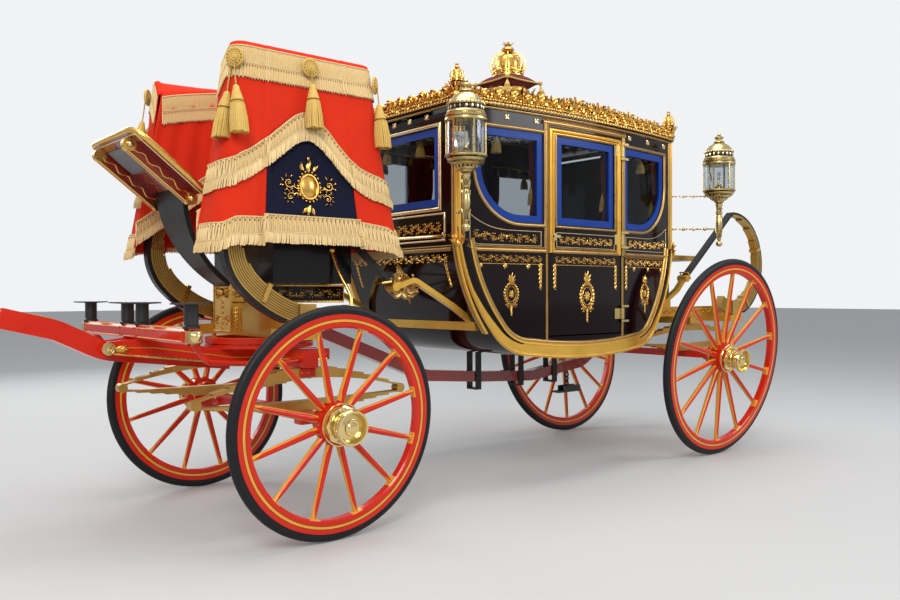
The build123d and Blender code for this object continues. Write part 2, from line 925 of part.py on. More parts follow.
def window_set(layer, outer_inset, inner_inset=None):
    """Every fixed window's frame or pane: four quarters and the front."""
    with BuildPart() as windows:
        for way in (1, -1):
            hole = quarter_window(way, inner_inset) if inner_inset else None
            piece = pane(layer, quarter_window(way, outer_inset), hole)
            add(piece)
            add(mirrored(piece))
        hole = front_window(inner_inset) if inner_inset else None
        add(pane(layer, front_window(outer_inset), hole))
    return windows.part


with BuildPart() as window_frames:
    add(window_set(frame_layer.part, clearance, window_frame_width))
save(window_frames, "window_frames")
with BuildPart() as window_glass:
    add(window_set(glass_layer.part, window_frame_width + clearance))
save(window_glass, "window_glass")

# Body panels
with BuildPart() as quarter_panels:
    add(body_wall.part)
    block(
        (body_rear_x - 10, body_front_x + 10),
        (-front_corner_half, front_corner_half),
        (0, 3000),
        mode=Mode.SUBTRACT,
    )
    block((body_rear_x - 10, body_front_x + 10), (-far, far), (0, sill_z), mode=Mode.SUBTRACT)
    block((door_rear_x, door_front_x), (-far, far), (sill_z, door_top_z), mode=Mode.SUBTRACT)
    for way in (1, -1):
        prism(quarter_window(way, 0), 2 * far, Mode.SUBTRACT)
save(quarter_panels, "quarter_panels")

panel_reach = 300
with BuildPart() as front_panel:
    add(body_wall.part)
    block(
        (body_front_x - panel_reach, body_front_x + 10),
        (-front_corner_half, front_corner_half),
        (under_z, 3000),
        mode=Mode.INTERSECT,
    )
    prism(front_window(0), 200, Mode.SUBTRACT)
save(front_panel, "front_panel")
with BuildPart() as rear_panel:
    add(body_wall.part)
    block(
        (body_rear_x - 10, body_rear_x + panel_reach),
        (-front_corner_half, front_corner_half),
        (under_z, 3000),
        mode=Mode.INTERSECT,
    )
save(rear_panel, "rear_panel")

# Bottom of the body with the two seat boxes
with BuildPart() as seat_boxes:
    for way in (1, -1):
        end_x = body_mid_x + way * (body_length / 2)
        face_x = end_x - way * (wall + seat_depth)
        block(tuple(sorted((face_x, end_x))), (-far, far), (seat_z - board, seat_z))
        block(tuple(sorted((face_x, face_x + way * board))), (-far, far), (0, seat_z))
    add(cabin_form, mode=Mode.INTERSECT)
with BuildPart() as body_bottom:
    add(body_wall.part)
    block((body_rear_x - 10, body_front_x + 10), (-far, far), (0, under_z), mode=Mode.INTERSECT)
    for side in (1, -1):
        y_low, y_high = sorted((side * front_corner_half, side * far))
        block((body_rear_x - 10, body_front_x + 10), (y_low, y_high), (sill_z, 3000), mode=Mode.SUBTRACT)
    add(seat_boxes.part)
save(body_bottom, "body_bottom")

# Doors: the same wall between the pillars, hinged at the rear edge on the outer face
hinge_pin_radius = 6
hinge_knuckle_radius = 13
hinge_offset = 16
hinge_x = door_rear_x + moving_gap / 2
hinge_heights = (1080, 1580, 2180)
hinge_height = 70


def side_half(x):
    """Half-width of the body at this X, on its bowed outer face."""
    sag = body_mid_half - body_end_half
    bow = ((body_length / 2) ** 2 + sag**2) / (2 * sag)
    return body_mid_half - bow + (bow**2 - (x - body_mid_x) ** 2) ** 0.5


hinge_y = side_half(hinge_x) + hinge_offset
with BuildPart() as door_left:
    add(body_wall.part)
    block(
        (door_rear_x + moving_gap, door_front_x - moving_gap),
        (0, far),
        (sill_z + moving_gap, door_top_z - moving_gap),
        mode=Mode.INTERSECT,
    )
    prism(door_window(0), far, Mode.SUBTRACT)
save(door_left, "door_left")
with BuildPart() as door_right:
    add(mirrored(door_left.part))
save(door_right, "door_right")

with BuildPart() as door_frame_left:
    add(pane(frame_layer.part, door_window(clearance), door_window(window_frame_width)))
save(door_frame_left, "door_frame_left")
with BuildPart() as door_frame_right:
    add(mirrored(door_frame_left.part))
save(door_frame_right, "door_frame_right")
with BuildPart() as door_glass_left:
    add(pane(glass_layer.part, door_window(window_frame_width + clearance)))
save(door_glass_left, "door_glass_left")
with BuildPart() as door_glass_right:
    add(mirrored(door_glass_left.part))
save(door_glass_right, "door_glass_right")

# Door furniture: the handle on its rose and the hinge leaves with their knuckles
handle_x = door_front_x - 48
handle_z = 1575
with BuildPart() as door_furniture_left:
    for height in hinge_heights:
        low, high = height - hinge_height / 2, height + hinge_height / 2
        with BuildSketch(Plane.XY.offset(low)):
            with Locations((hinge_x, hinge_y)):
                Circle(hinge_knuckle_radius)
        extrude(amount=hinge_height)
        block((hinge_x, hinge_x + 74), (hinge_y - hinge_offset - 6, hinge_y - 6), (low, high))
    with BuildSketch(side_plane(side_half(handle_x) - 4)):
        with Locations((handle_x, handle_z)):
            Circle(24)
    extrude(amount=-14)
    with BuildSketch(side_plane(side_half(handle_x) + 8)):
        with Locations((handle_x, handle_z)):
            Circle(8)
    extrude(amount=-32)
    block(
        (handle_x - 12, handle_x + 66 - 20),
        (side_half(handle_x) + 36, side_half(handle_x) + 50),
        (handle_z - 8, handle_z + 8),
    )
    for height in hinge_heights:
        with BuildSketch(Plane.XY.offset(height - hinge_height / 2 - 1)):
            with Locations((hinge_x, hinge_y)):
                Circle(hinge_pin_radius + pin_clearance)
        extrude(amount=hinge_height + 2, mode=Mode.SUBTRACT)
    add(body_hull, mode=Mode.SUBTRACT)
save(door_furniture_left, "door_furniture_left")
with BuildPart() as door_furniture_right:
    add(mirrored(door_furniture_left.part))
save(door_furniture_right, "door_furniture_right")

# Hinge pins on the rear door pillars, each on two lugs above and below its knuckle
with BuildPart() as door_hinges:
    for height in hinge_heights:
        low = height - hinge_height / 2 - moving_gap
        with BuildSketch(Plane.XY.offset(low - 14)):
            with Locations((hinge_x, hinge_y)):
                Circle(hinge_pin_radius)
        extrude(amount=hinge_height + 2 * moving_gap + 28)
        for lug_low in (low - 14, low + hinge_height + 2 * moving_gap):
            with BuildSketch(Plane.XY.offset(lug_low)):
                with Locations((hinge_x, hinge_y)):
                    Circle(hinge_knuckle_radius)
            extrude(amount=14)
            block(
                (hinge_x - 60, hinge_x),
                (hinge_y - hinge_offset - 14, hinge_y + hinge_knuckle_radius - 6),
                (lug_low, lug_low + 14),
            )
    add(body_hull, mode=Mode.SUBTRACT)
    mirror(about=Plane.XZ)
save(door_hinges, "door_hinges")

# Rocker bands: the gilt edge that runs round the lower side of the body
with BuildPart() as rocker_bands:
    prism(body_side(0), 2 * far)
    prism(body_side(rocker_depth), 2 * far, Mode.SUBTRACT)
    prism(body_plan(-rocker_proud), eaves_z + 200, Mode.INTERSECT)
    prism(body_plan(0), eaves_z + 200, Mode.SUBTRACT)
    block((body_rear_x - 10, body_front_x + 10), (-far, far), (0, belt_z), mode=Mode.INTERSECT)
save(rocker_bands, "rocker_bands")


def roof_outline(grow):
    """The body seen from above, with its bowed sides and straight ends."""
    half = body_length / 2 + grow
    with BuildSketch(Plane.XY.offset(eaves_z)) as outline:
        with Locations((body_mid_x, 0)):
            Rectangle(2 * half, 4 * body_mid_half)
        add(body_plan(-grow).moved(Location((0, 0, 0))), mode=Mode.INTERSECT)
    return outline.sketch


# Roof: a cornice over the walls, then a low crown that closes the cabin
with BuildPart() as roof:
    prism(roof_outline(cornice_proud), cornice_height)
    with BuildSketch(Plane.XY.offset(eaves_z + cornice_height)):
        with Locations((body_mid_x, 0)):
            Rectangle(body_length - 90, 2 * body_end_half - 60)
    extrude(amount=roof_rise, taper=roof_taper)
save(roof, "roof")

# Cresting: a gilt fence of leaves round the roof with a crown at each corner
cresting_low_z = eaves_z + cornice_height
leaf_pitch = 130
corner_x = body_length / 2 - 10
corner_y = body_end_half - 12
corner_crown_height = 205
corner_crown_radius = 52
scallop_radius = 34


def crown_profile(low, height, width):
    """Outline of a small crown: band, swelling arches and a ball on top."""
    return (
        (width * 0.7, low),
        (width * 0.78, low + height * 0.16),
        (width * 0.66, low + height * 0.22),
        (width, low + height * 0.45),
        (width * 0.8, low + height * 0.66),
        (width * 0.2, low + height * 0.76),
        (width * 0.3, low + height * 0.88),
        (width * 0.1, low + height),
    )


with BuildPart() as cresting:
    prism(roof_outline(2).moved(Location((0, 0, cornice_height))), cresting_height)
    prism(
        roof_outline(2 - cresting_thickness).moved(Location((0, 0, cornice_height))),
        cresting_height,
        Mode.SUBTRACT,
    )
    notch_z = cresting_low_z + cresting_height + 6
    for index in range(-7, 8):
        with BuildSketch(side_plane(far)):
            with Locations((body_mid_x + index * leaf_pitch, notch_z)):
                Circle(scallop_radius)
        extrude(amount=2 * far, mode=Mode.SUBTRACT)
    for index in range(-4, 5):
        with BuildSketch(Plane.YZ.offset(body_rear_x - 50)):
            with Locations((index * leaf_pitch, notch_z)):
                Circle(scallop_radius)
        extrude(amount=body_length + 100, mode=Mode.SUBTRACT)
    for way in (1, -1):
        for side in (1, -1):
            x = body_mid_x + way * corner_x
            y = side * corner_y
            add(turned(x, y, crown_profile(cresting_low_z, corner_crown_height, corner_crown_radius)))

# Gilt pedestal in the middle of the roof: it is kept in one piece of work with the cresting
pedestal_rise = pedestal_top_z - roof_top_z
with BuildPart() as roof_pedestal:
    add(
        turned(
            crown_x,
            0,
            (
                (210, roof_top_z - 20),
                (214, roof_top_z + 0.09 * pedestal_rise),
                (176, roof_top_z + 0.25 * pedestal_rise),
                (148, pedestal_top_z - 0.25 * pedestal_rise),
                (160, pedestal_top_z - 0.06 * pedestal_rise),
                (150, pedestal_top_z),
            ),
        )
    )
    add(roof.part, mode=Mode.SUBTRACT)
with BuildPart() as roof_gilding:
    add(cresting.part)
    add(roof_pedestal.part)
save(roof_gilding, "cresting")

# The tasselled cushion on the pedestal and the large crown on the cushion
cushion_low_z = pedestal_top_z + clearance
cushion_high_z = cushion_low_z + roof_cushion_height
cushion_bend = 0.36 * roof_cushion_height
with BuildPart() as roof_cushion:
    block(
        (crown_x - roof_cushion_half, crown_x + roof_cushion_half),
        (-roof_cushion_half, roof_cushion_half),
        (cushion_low_z, cushion_high_z),
    )
    fillet(roof_cushion.edges().filter_by(Axis.Z), 30)
    fillet(roof_cushion.faces().sort_by(Axis.Z)[0].edges(), cushion_bend)
    fillet(roof_cushion.faces().sort_by(Axis.Z)[-1].edges(), cushion_bend)
save(roof_cushion, "roof_cushion")
with BuildPart() as centre_crown:
    low = cushion_high_z + clearance
    height = crown_top_z - low
    add(
        turned(
            crown_x,
            0,
            (
                (crown_radius * 0.8, low),
                (crown_radius * 0.86, low + height * 0.13),
                (crown_radius * 0.74, low + height * 0.167),
                (crown_radius * 0.92, low + height * 0.36),
                (crown_radius, low + height * 0.48),
                (crown_radius * 0.9, low + height * 0.6),
                (crown_radius * 0.5, low + height * 0.68),
                (crown_radius * 0.14, low + height * 0.7),
                (crown_radius * 0.26, low + height * 0.77),
                (crown_radius * 0.14, low + height * 0.84),
                (crown_radius * 0.07, low + height),
            ),
        )
    )
save(centre_crown, "centre_crown")

# Seats inside the cabin: a cushion and a squab at each end
cushion_inset = 14
with BuildPart() as cabin_seats:
    for way in (1, -1):
        wall_x = body_mid_x + way * (body_length / 2 - wall)
        cushion_x = sorted((wall_x - way * (seat_depth - 6), wall_x - way * (squab_thickness + 4)))
        squab_x = sorted((wall_x - way * squab_thickness, wall_x - way * 1))
        half = body_end_half - wall - cushion_inset
        low = seat_z + clearance
        block(tuple(cushion_x), (-half, half), (low, low + cushion_height))
        block(tuple(squab_x), (-half, half), (low + 60, low + squab_height))
    seat_trim = hull(wall + 1)
    add(seat_trim, mode=Mode.INTERSECT)
save(cabin_seats, "cabin_seats")


# Body loops: forged irons from the lower corners of the body up to the braces, tied by a cross bar in front
front_loop_points = [
    (front_loop_end[0] - 6, front_loop_end[1] - 8),
    (ahead(-710), 1300),
    (ahead(-1010), 1140),
    (ahead(-1200), 1020),
]
rear_loop_points = [
    (rear_loop_end[0] + 6, rear_loop_end[1] - 10),
    (rear_loop_end[0] + 90, rear_loop_end[1] - 90),
    (body_rear_x + 60, 1080),
    (body_rear_x + 200, 1015),
]
loop_cross_x = (ahead(-1200), ahead(-1140))
loop_cross_z = (994, 1055)
loop_cross_half = 545


def loop_part(points, loop_end, y):
    with BuildPart() as iron:
        add(bent_bar([(x, y, z) for x, z in points], 70, 40, 30))
        with BuildSketch(side_plane(y)):
            with Locations(loop_end):
                Circle(26)
        extrude(amount=40, both=True)
        add(body_hull, mode=Mode.SUBTRACT)
    return iron.part


with BuildPart() as body_loops:
    for points, loop_end in ((front_loop_points, front_loop_end), (rear_loop_points, rear_loop_end)):
        near = loop_part(points, loop_end, c_spring_y)
        add(near)
        add(mirrored(near))
    with BuildPart() as cross_bar:
        block(loop_cross_x, (-loop_cross_half, loop_cross_half), loop_cross_z)
        add(body_hull, mode=Mode.SUBTRACT)
    add(cross_bar.part)
    add(braces.part, mode=Mode.SUBTRACT)
save(body_loops, "body_loops")

# Check straps: leather loops from the body's bottom round the perch
check_x = (ahead(-1620), ahead(-2030), ahead(-2380))
with BuildPart() as check_straps:
    for x in check_x:
        half_perch = perch_width / 2 + clearance
        block((x - 24, x + 24), (-half_perch - 9, half_perch + 9), (560, body_bottom_z + 60))
        block((x - 25, x + 25), (-half_perch, half_perch), (572, body_bottom_z + 61), mode=Mode.SUBTRACT)
    add(body_hull, mode=Mode.SUBTRACT)
    add(perch.part, mode=Mode.SUBTRACT)
save(check_straps, "check_straps")

# Drag shoe: an iron skid that hangs on a short chain under the perch
with BuildPart() as drag_shoe:
    shoe_x = ahead(-2560)
    block((shoe_x - 120, shoe_x + 120), (-34, 34), (470, 484))
    block((shoe_x - 120, shoe_x + 60), (-34, -22), (470, 520))
    block((shoe_x - 120, shoe_x + 60), (22, 34), (470, 520))
    for link in range(4):
        plane = Plane.YZ if link % 2 else Plane.XZ
        with BuildSketch(Plane(origin=(shoe_x, 0, 500 + 34 * link), z_dir=plane.z_dir)):
            Circle(23)
            Circle(13, mode=Mode.SUBTRACT)
        extrude(amount=5, both=True)
    block((shoe_x - 10, shoe_x + 10), (-10, 10), (610, 668))
    block((shoe_x - 8, shoe_x + 8), (-8, 8), (480, 500))
    add(perch.part, mode=Mode.SUBTRACT)
save(drag_shoe, "drag_shoe")

# Platform for the footmen, on brackets from the rear carriage
platform_gap = 80
platform_front_x = body_rear_x - platform_gap
platform_rear_x = rear_axle_x - 220
platform_half = 430
platform_thickness = 38
platform_low_z = 1475
with BuildPart() as platform:
    block(
        (platform_rear_x, platform_front_x),
        (-platform_half, platform_half),
        (platform_low_z, platform_low_z + platform_thickness),
    )
    for side in (1, -1):
        y_low, y_high = sorted((side * 250, side * 300))
        block((rear_axle_x - 45, rear_axle_x + 45), (y_low, y_high), (rear_block_high_z, platform_low_z))
save(platform, "platform")

# Boot under the coachman's seat, with the raised seat frame that holds up the cloth
boot_front_x = ahead(105)
boot_rear_x = ahead(-380)
seat_front_x = ahead(-60)
seat_under_z = cloth_top_z - cloth_thickness - clearance
with BuildPart() as boot:
    block((boot_rear_x, boot_front_x), (-boot_half, boot_half), (boot_bottom_z, boot_top_z))
    block((ahead(-310), seat_front_x), (-300, 300), (boot_top_z, seat_under_z))
save(boot, "boot")

# Footboard: a raked board on two ribs, in front of the coachman's feet
board_low = (ahead(470), 1725)
board_high = (ahead(820), 2000)
board_thickness = 22
board_corner_radius = 90
rib_depth = 62
rib_width = 30
rib_y = 215
board_angle = degrees(atan2(board_high[1] - board_low[1], board_high[0] - board_low[0]))
board_length = ((board_high[0] - board_low[0]) ** 2 + (board_high[1] - board_low[1]) ** 2) ** 0.5
board_way = Vector(cos(radians(board_angle)), 0, sin(radians(board_angle)))
board_normal = Vector(-sin(radians(board_angle)), 0, cos(radians(board_angle)))
board_plane = Plane(origin=(board_low[0], 0, board_low[1]), x_dir=board_way, z_dir=board_normal)
with BuildPart() as footboard:
    with BuildSketch(board_plane):
        with Locations((board_length / 2, 0)):
            Rectangle(board_length, 2 * footboard_half)
    extrude(amount=board_thickness)
    through_edges = footboard.edges().filter_by(lambda edge: abs(edge.tangent_at(0).dot(board_normal)) > 0.9)
    fillet(through_edges.sort_by(Axis.Z)[-2:], board_corner_radius)
    for side in (1, -1):
        with BuildSketch(board_plane):
            with Locations((board_length / 2 - 20, side * rib_y)):
                Rectangle(board_length - 60, rib_width)
        extrude(amount=-rib_depth)
save(footboard, "footboard")

# Boot front: the leather-covered hull that sweeps up from the carved beam and widens to the footboard
dash_foot = (carriage_front_x - 12, side_beam_high_z - 6)
dash_middle = (ahead(418), 1470)
dash_head = (ahead(510), 1790)
dash_foot_half = 80
dash_head_half = 192
dash_thickness = 26
with BuildPart() as boot_front:
    add(arc_strip(dash_foot, dash_middle, dash_head, 0, 2 * dash_head_half, dash_thickness))
    with BuildSketch(Plane.YZ.offset(boot_front_x)):
        with BuildLine():
            Polyline(
                (-dash_foot_half, dash_foot[1] - 40),
                (-dash_head_half, dash_head[1]),
                (-dash_head_half, dash_head[1] + 60),
                (dash_head_half, dash_head[1] + 60),
                (dash_head_half, dash_head[1]),
                (dash_foot_half, dash_foot[1] - 40),
                close=True,
            )
        make_face()
    extrude(amount=800, mode=Mode.INTERSECT)
    with BuildSketch(board_plane):
        with Locations((board_length / 2, 0)):
            Rectangle(4 * board_length, 1200)
    extrude(amount=400, mode=Mode.SUBTRACT)
    add(footboard.part, mode=Mode.SUBTRACT)
    add(upper_fore_carriage.part, mode=Mode.SUBTRACT)
    add(boot.part, mode=Mode.SUBTRACT)
save(boot_front, "boot_front")

# Hammercloth: the cloth over the coachman's seat, hollow, open below; its sides stand forward as wings
cloth_low = (ahead(585), ahead(-560), 622)
cloth_high = (ahead(430), ahead(-380), 552)
recess_half = 420
recess_x = ahead(10)
hem_low = (ahead(640), cloth_bottom_z - 10)
hem_slope = 0.72


def cloth_form(inset):
    """The cloth's tapering outer form, moved in by inset at its sides and top."""
    with BuildPart() as form:
        for (front, rear, half), z in (
            (cloth_low, cloth_bottom_z - (1 if inset else 0)),
            (cloth_high, cloth_top_z - inset),
        ):
            with BuildSketch(Plane.XY.offset(z)):
                with Locations(((front + rear) / 2, 0)):
                    Rectangle(front - rear - 2 * inset, 2 * (half - inset))
        loft()
    return form.part


def recess_form(grow):
    """The hollow in front for the coachman's legs, open forwards, upwards and below."""
    with BuildPart() as form:
        block(
            (recess_x - grow, ahead(800)),
            (-recess_half - grow, recess_half + grow),
            (cloth_bottom_z - 50, cloth_top_z + 50),
        )
    return form.part


with BuildPart() as cloth_inside:
    add(cloth_form(cloth_thickness))
    add(recess_form(cloth_thickness), mode=Mode.SUBTRACT)
with BuildPart() as hammercloth:
    add(cloth_form(0))
    add(recess_form(0), mode=Mode.SUBTRACT)
    add(cloth_inside.part, mode=Mode.SUBTRACT)
    cheek_half = recess_half + cloth_thickness + 2
    with BuildSketch(side_plane(cheek_half)):
        with BuildLine():
            Polyline(
                hem_low,
                (recess_x - 60, hem_low[1]),
                (recess_x - 60, hem_low[1] + (hem_low[0] - recess_x + 60) * hem_slope),
                close=True,
            )
        make_face()
    extrude(amount=2 * cheek_half, mode=Mode.SUBTRACT)
save(hammercloth, "hammercloth")


# Lamps: brass cases on long turned stems, each on an iron stay from the body's corner
def lamp_case(x):
    low = lamp_low_z
    profile_stem = (
        (6, low),
        (24, low + 16),
        (26, low + 34),
        (14, low + 52),
        (20, low + 90),
        (24, low + 150),
        (18, low + 250),
        (30, low + 290),
        (88, low + 320),
        (lamp_radius, low + 362),
        (lamp_radius, low + 382),
        (lamp_radius - 12, low + 384),
    )
    profile_top = (
        (lamp_radius - 12, low + 582),
        (lamp_radius, low + 584),
        (lamp_radius, low + 606),
        (lamp_radius - 20, low + 622),
        (lamp_radius - 14, low + 650),
        (70, low + 706),
        (30, low + 730),
        (26, low + 752),
        (38, low + 768),
        (24, low + 790),
        (6, low + 822),
    )
    with BuildPart() as case:
        add(turned(x, lamp_y, profile_stem))
        add(turned(x, lamp_y, profile_top))
        for index in range(4):
            angle = 45 + 90 * index
            post_x = x + (lamp_radius - 8) * cos(radians(angle))
            post_y = lamp_y + (lamp_radius - 8) * sin(radians(angle))
            with BuildSketch(Plane.XY.offset(low + 376)):
                with Locations((post_x, post_y)):
                    Circle(6)
            extrude(amount=214)
    return case.part


def lamp_glass_part(x):
    with BuildPart() as glass:
        with BuildSketch(Plane.XY.offset(lamp_low_z + 384 + clearance)):
            with Locations((x, lamp_y)):
                Circle(lamp_radius - 16)
                Circle(lamp_radius - 20, mode=Mode.SUBTRACT)
        extrude(amount=198 - 2 * clearance)
    return glass.part


def lamp_stay(x, way):
    """Two irons from the body's corner to the lamp: one at the case and one at the stem."""
    corner = body_front_x - 40 if way > 0 else body_rear_x + 40
    with BuildPart() as stay:
        for low, width in ((lamp_low_z + 372, 14), (lamp_low_z + 130, 18)):
            add(bent_bar([(corner, body_end_half - 30, low), (x, lamp_y, low)], 0, width))
        add(body_hull, mode=Mode.SUBTRACT)
    return stay.part


with BuildPart() as lamps:
    for x, way in ((lamp_front_x, 1), (lamp_rear_x, -1)):
        add(lamp_case(x))
        add(lamp_stay(x, way))
    mirror(about=Plane.XZ)
save(lamps, "lamps")
with BuildPart() as lamp_glasses:
    for x in (lamp_front_x, lamp_rear_x):
        add(lamp_glass_part(x))
    mirror(about=Plane.XZ)
save(lamp_glasses, "lamp_glasses")
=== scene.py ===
"""A horse-drawn state coach: the looks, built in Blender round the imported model."""

import math
import random

import bmesh
import bpy
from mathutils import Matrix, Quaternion, Vector
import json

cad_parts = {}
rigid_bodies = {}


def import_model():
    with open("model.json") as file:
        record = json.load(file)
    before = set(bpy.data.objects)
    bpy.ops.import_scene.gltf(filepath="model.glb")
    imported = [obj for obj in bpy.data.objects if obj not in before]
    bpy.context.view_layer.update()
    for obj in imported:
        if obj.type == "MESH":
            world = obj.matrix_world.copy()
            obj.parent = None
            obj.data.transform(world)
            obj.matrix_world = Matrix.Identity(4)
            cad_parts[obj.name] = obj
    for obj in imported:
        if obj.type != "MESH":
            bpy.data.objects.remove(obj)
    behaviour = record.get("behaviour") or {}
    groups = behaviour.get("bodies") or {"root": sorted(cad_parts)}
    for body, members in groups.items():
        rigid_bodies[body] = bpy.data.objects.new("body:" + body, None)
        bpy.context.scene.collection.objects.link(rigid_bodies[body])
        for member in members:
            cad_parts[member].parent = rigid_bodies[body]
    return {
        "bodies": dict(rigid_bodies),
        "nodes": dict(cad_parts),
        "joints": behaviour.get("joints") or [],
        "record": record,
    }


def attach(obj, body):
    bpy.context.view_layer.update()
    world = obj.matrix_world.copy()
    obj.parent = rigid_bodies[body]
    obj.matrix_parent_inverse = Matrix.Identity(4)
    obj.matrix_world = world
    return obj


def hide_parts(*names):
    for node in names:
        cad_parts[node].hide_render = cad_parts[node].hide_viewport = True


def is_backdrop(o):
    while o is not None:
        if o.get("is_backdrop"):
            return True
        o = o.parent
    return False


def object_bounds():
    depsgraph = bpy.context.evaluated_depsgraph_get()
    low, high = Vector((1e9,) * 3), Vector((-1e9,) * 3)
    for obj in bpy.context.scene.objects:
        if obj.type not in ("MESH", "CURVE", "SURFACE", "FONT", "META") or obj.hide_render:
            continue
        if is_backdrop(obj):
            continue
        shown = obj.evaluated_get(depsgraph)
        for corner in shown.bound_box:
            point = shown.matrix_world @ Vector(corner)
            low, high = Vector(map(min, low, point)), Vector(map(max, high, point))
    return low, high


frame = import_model()
cad_low, cad_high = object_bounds()
nodes = frame["nodes"]
random.seed(7)

# Main places, in metres; X runs forwards from the middle of the coach, Y to its left
FRONT_X = 0.455
REAR_X = FRONT_X - 3.400
BODY_FRONT = FRONT_X - 0.950
BODY_LENGTH = 2.080
BODY_REAR = BODY_FRONT - BODY_LENGTH
BODY_MID = (BODY_FRONT + BODY_REAR) / 2
END_HALF = 0.612
MID_HALF = 0.700
SAG = MID_HALF - END_HALF
BOW = ((BODY_LENGTH / 2) ** 2 + SAG**2) / (2 * SAG)
EAVES = 2.335
CORNICE = 0.028
BELT = 1.530
DOOR_HALF = 0.360
DOOR_FRONT = BODY_MID + DOOR_HALF
DOOR_REAR = BODY_MID - DOOR_HALF
WINDOW_LOW = 1.652
WINDOW_HIGH = 2.212
TOP = 3.020


def ahead(distance):
    return FRONT_X + distance


def clamp(value):
    return min(max(value, 0.0), 1.0)


def side_half(x):
    """Half-width of the body on its bowed face at this X."""
    return MID_HALF - BOW + math.sqrt(max(BOW**2 - (x - BODY_MID) ** 2, 0))


# Mesh tools
class Mesh:
    """Gathers vertices and faces of many small forms into one mesh."""

    def __init__(self):
        self.verts = []
        self.faces = []
        self.mats = []

    def merge(self, other):
        start = len(self.verts)
        self.verts += other.verts
        self.faces += [tuple(i + start for i in face) for face in other.faces]
        self.mats += other.mats

    def both_sides(self):
        """Adds the mirror image on the coach's other side."""
        start = len(self.verts)
        self.verts += [Vector((v.x, -v.y, v.z)) for v in self.verts]
        self.faces += [tuple(i + start for i in face)[::-1] for face in self.faces]
        self.mats += self.mats

    def close_ends(self, n, mat=0, first=True, last=True):
        """Caps the first and the last row of n points."""
        end = len(self.verts)
        caps = [tuple(range(n))[::-1]] * first + [tuple(range(end - n, end))] * last
        self.faces += caps
        self.mats += [mat] * len(caps)
        return self

    def build(self, name, materials, body="root", slot=None, replaces=(), angle=40, weld=False):
        mesh = bpy.data.meshes.new(name)
        mesh.from_pydata([tuple(v) for v in self.verts], [], self.faces)
        for material in materials:
            mesh.materials.append(material)
        mesh.polygons.foreach_set("material_index", self.mats)
        mesh.polygons.foreach_set("use_smooth", [True] * len(self.faces))
        mesh.update()
        if weld:
            shape = bmesh.new()
            shape.from_mesh(mesh)
            bmesh.ops.remove_doubles(shape, verts=shape.verts, dist=1e-5)
            shape.to_mesh(mesh)
            shape.free()
        mesh.set_sharp_from_angle(angle=math.radians(angle))
        obj = bpy.data.objects.new(name, mesh)
        bpy.context.scene.collection.objects.link(obj)
        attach(obj, body)
        if replaces:
            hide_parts(*replaces)
        return obj


def around(count):
    """Angles of a whole turn in equal parts."""
    return [2 * math.pi * i / count for i in range(count)]


def polar(r, a, h=0.0):
    return Vector((r * math.cos(a), r * math.sin(a), h))


def round_place(centre, radius, a, spread=None):
    """A drum's surface: u runs round it from the angle a, v rises, out leaves it."""

    def place(u, v, out):
        return Vector(centre) + polar(radius + out, a + u / (spread or radius), v)

    return place


def thicken(obj, thickness, offset=-1.0):
    modifier = obj.modifiers.new("thickness", "SOLIDIFY")
    modifier.thickness, modifier.offset = thickness, offset


def sides_and_normals(points, up=(0, 0, 1), closed=False):
    """Side and normal at each point of a line, the normal as near to up as can be."""
    out = []
    count = len(points)
    for i in range(count):
        a = points[(i - 1) % count] if closed else points[max(i - 1, 0)]
        b = points[(i + 1) % count] if closed else points[min(i + 1, count - 1)]
        way = (b - a).normalized()
        side = way.cross(Vector(up))
        if side.length < 1e-5:
            side = way.cross(Vector((0, 1, 0.01)))
        side.normalize()
        out.append((side, side.cross(way)))
    return out


def ring(radius, count, turn=0.0):
    return [(radius * math.cos(a + turn), radius * math.sin(a + turn)) for a in around(count)]


def sweep(points, section, up=(0, 0, 1), scales=None, closed=False, twist=0.0, mat=0):
    """A section of (side, normal) offsets swept along points."""
    points = [Vector(p) for p in points]
    rows = []
    for i, (p, (side, normal)) in enumerate(zip(points, sides_and_normals(points, up, closed))):
        scale = scales[i] if scales else 1.0
        c, s = math.cos(twist * i), math.sin(twist * i)
        rows.append([p + side * ((u * c - v * s) * scale) + normal * ((u * s + v * c) * scale) for u, v in section])
    out = grid(rows, mat, closed=True, loop=closed)
    return out if closed else out.close_ends(len(section), mat)


def lathe(profile, origin=(0, 0, 0), axis=(0, 0, 1), steps=24, mat=0, flutes=0, flute_depth=0.0):
    """A profile of (radius, height) turned about an axis."""
    axis = Vector(axis).normalized()
    turn = Vector((0, 0, 1)).rotation_difference(axis).to_matrix()
    rows = []
    for r, h in profile:
        dents = [flute_depth * (0.5 + 0.5 * math.cos(flutes * a)) if flutes else 0.0 for a in around(steps)]
        rows.append([Vector(origin) + turn @ polar(r * (1 - d), a, h) for a, d in zip(around(steps), dents)])
    return grid(rows, mat, closed=True).close_ends(steps, mat, profile[0][0] > 1e-6, profile[-1][0] > 1e-6)


def grid(rows, mat=0, closed=False, loop=False):
    """Quads between rows of points; closed joins the ends of each row, loop the last row and the first."""
    out = Mesh()
    n, m = len(rows[0]), len(rows)
    out.verts = [Vector(p) for row in rows for p in row]
    for i in range(m if loop else m - 1):
        a, b = i * n, (i + 1) % m * n
        for j in range(n if closed else n - 1):
            k = (j + 1) % n
            out.faces.append((a + j, a + k, b + k, b + j))
    out.mats = [mat] * len(out.faces)
    return out


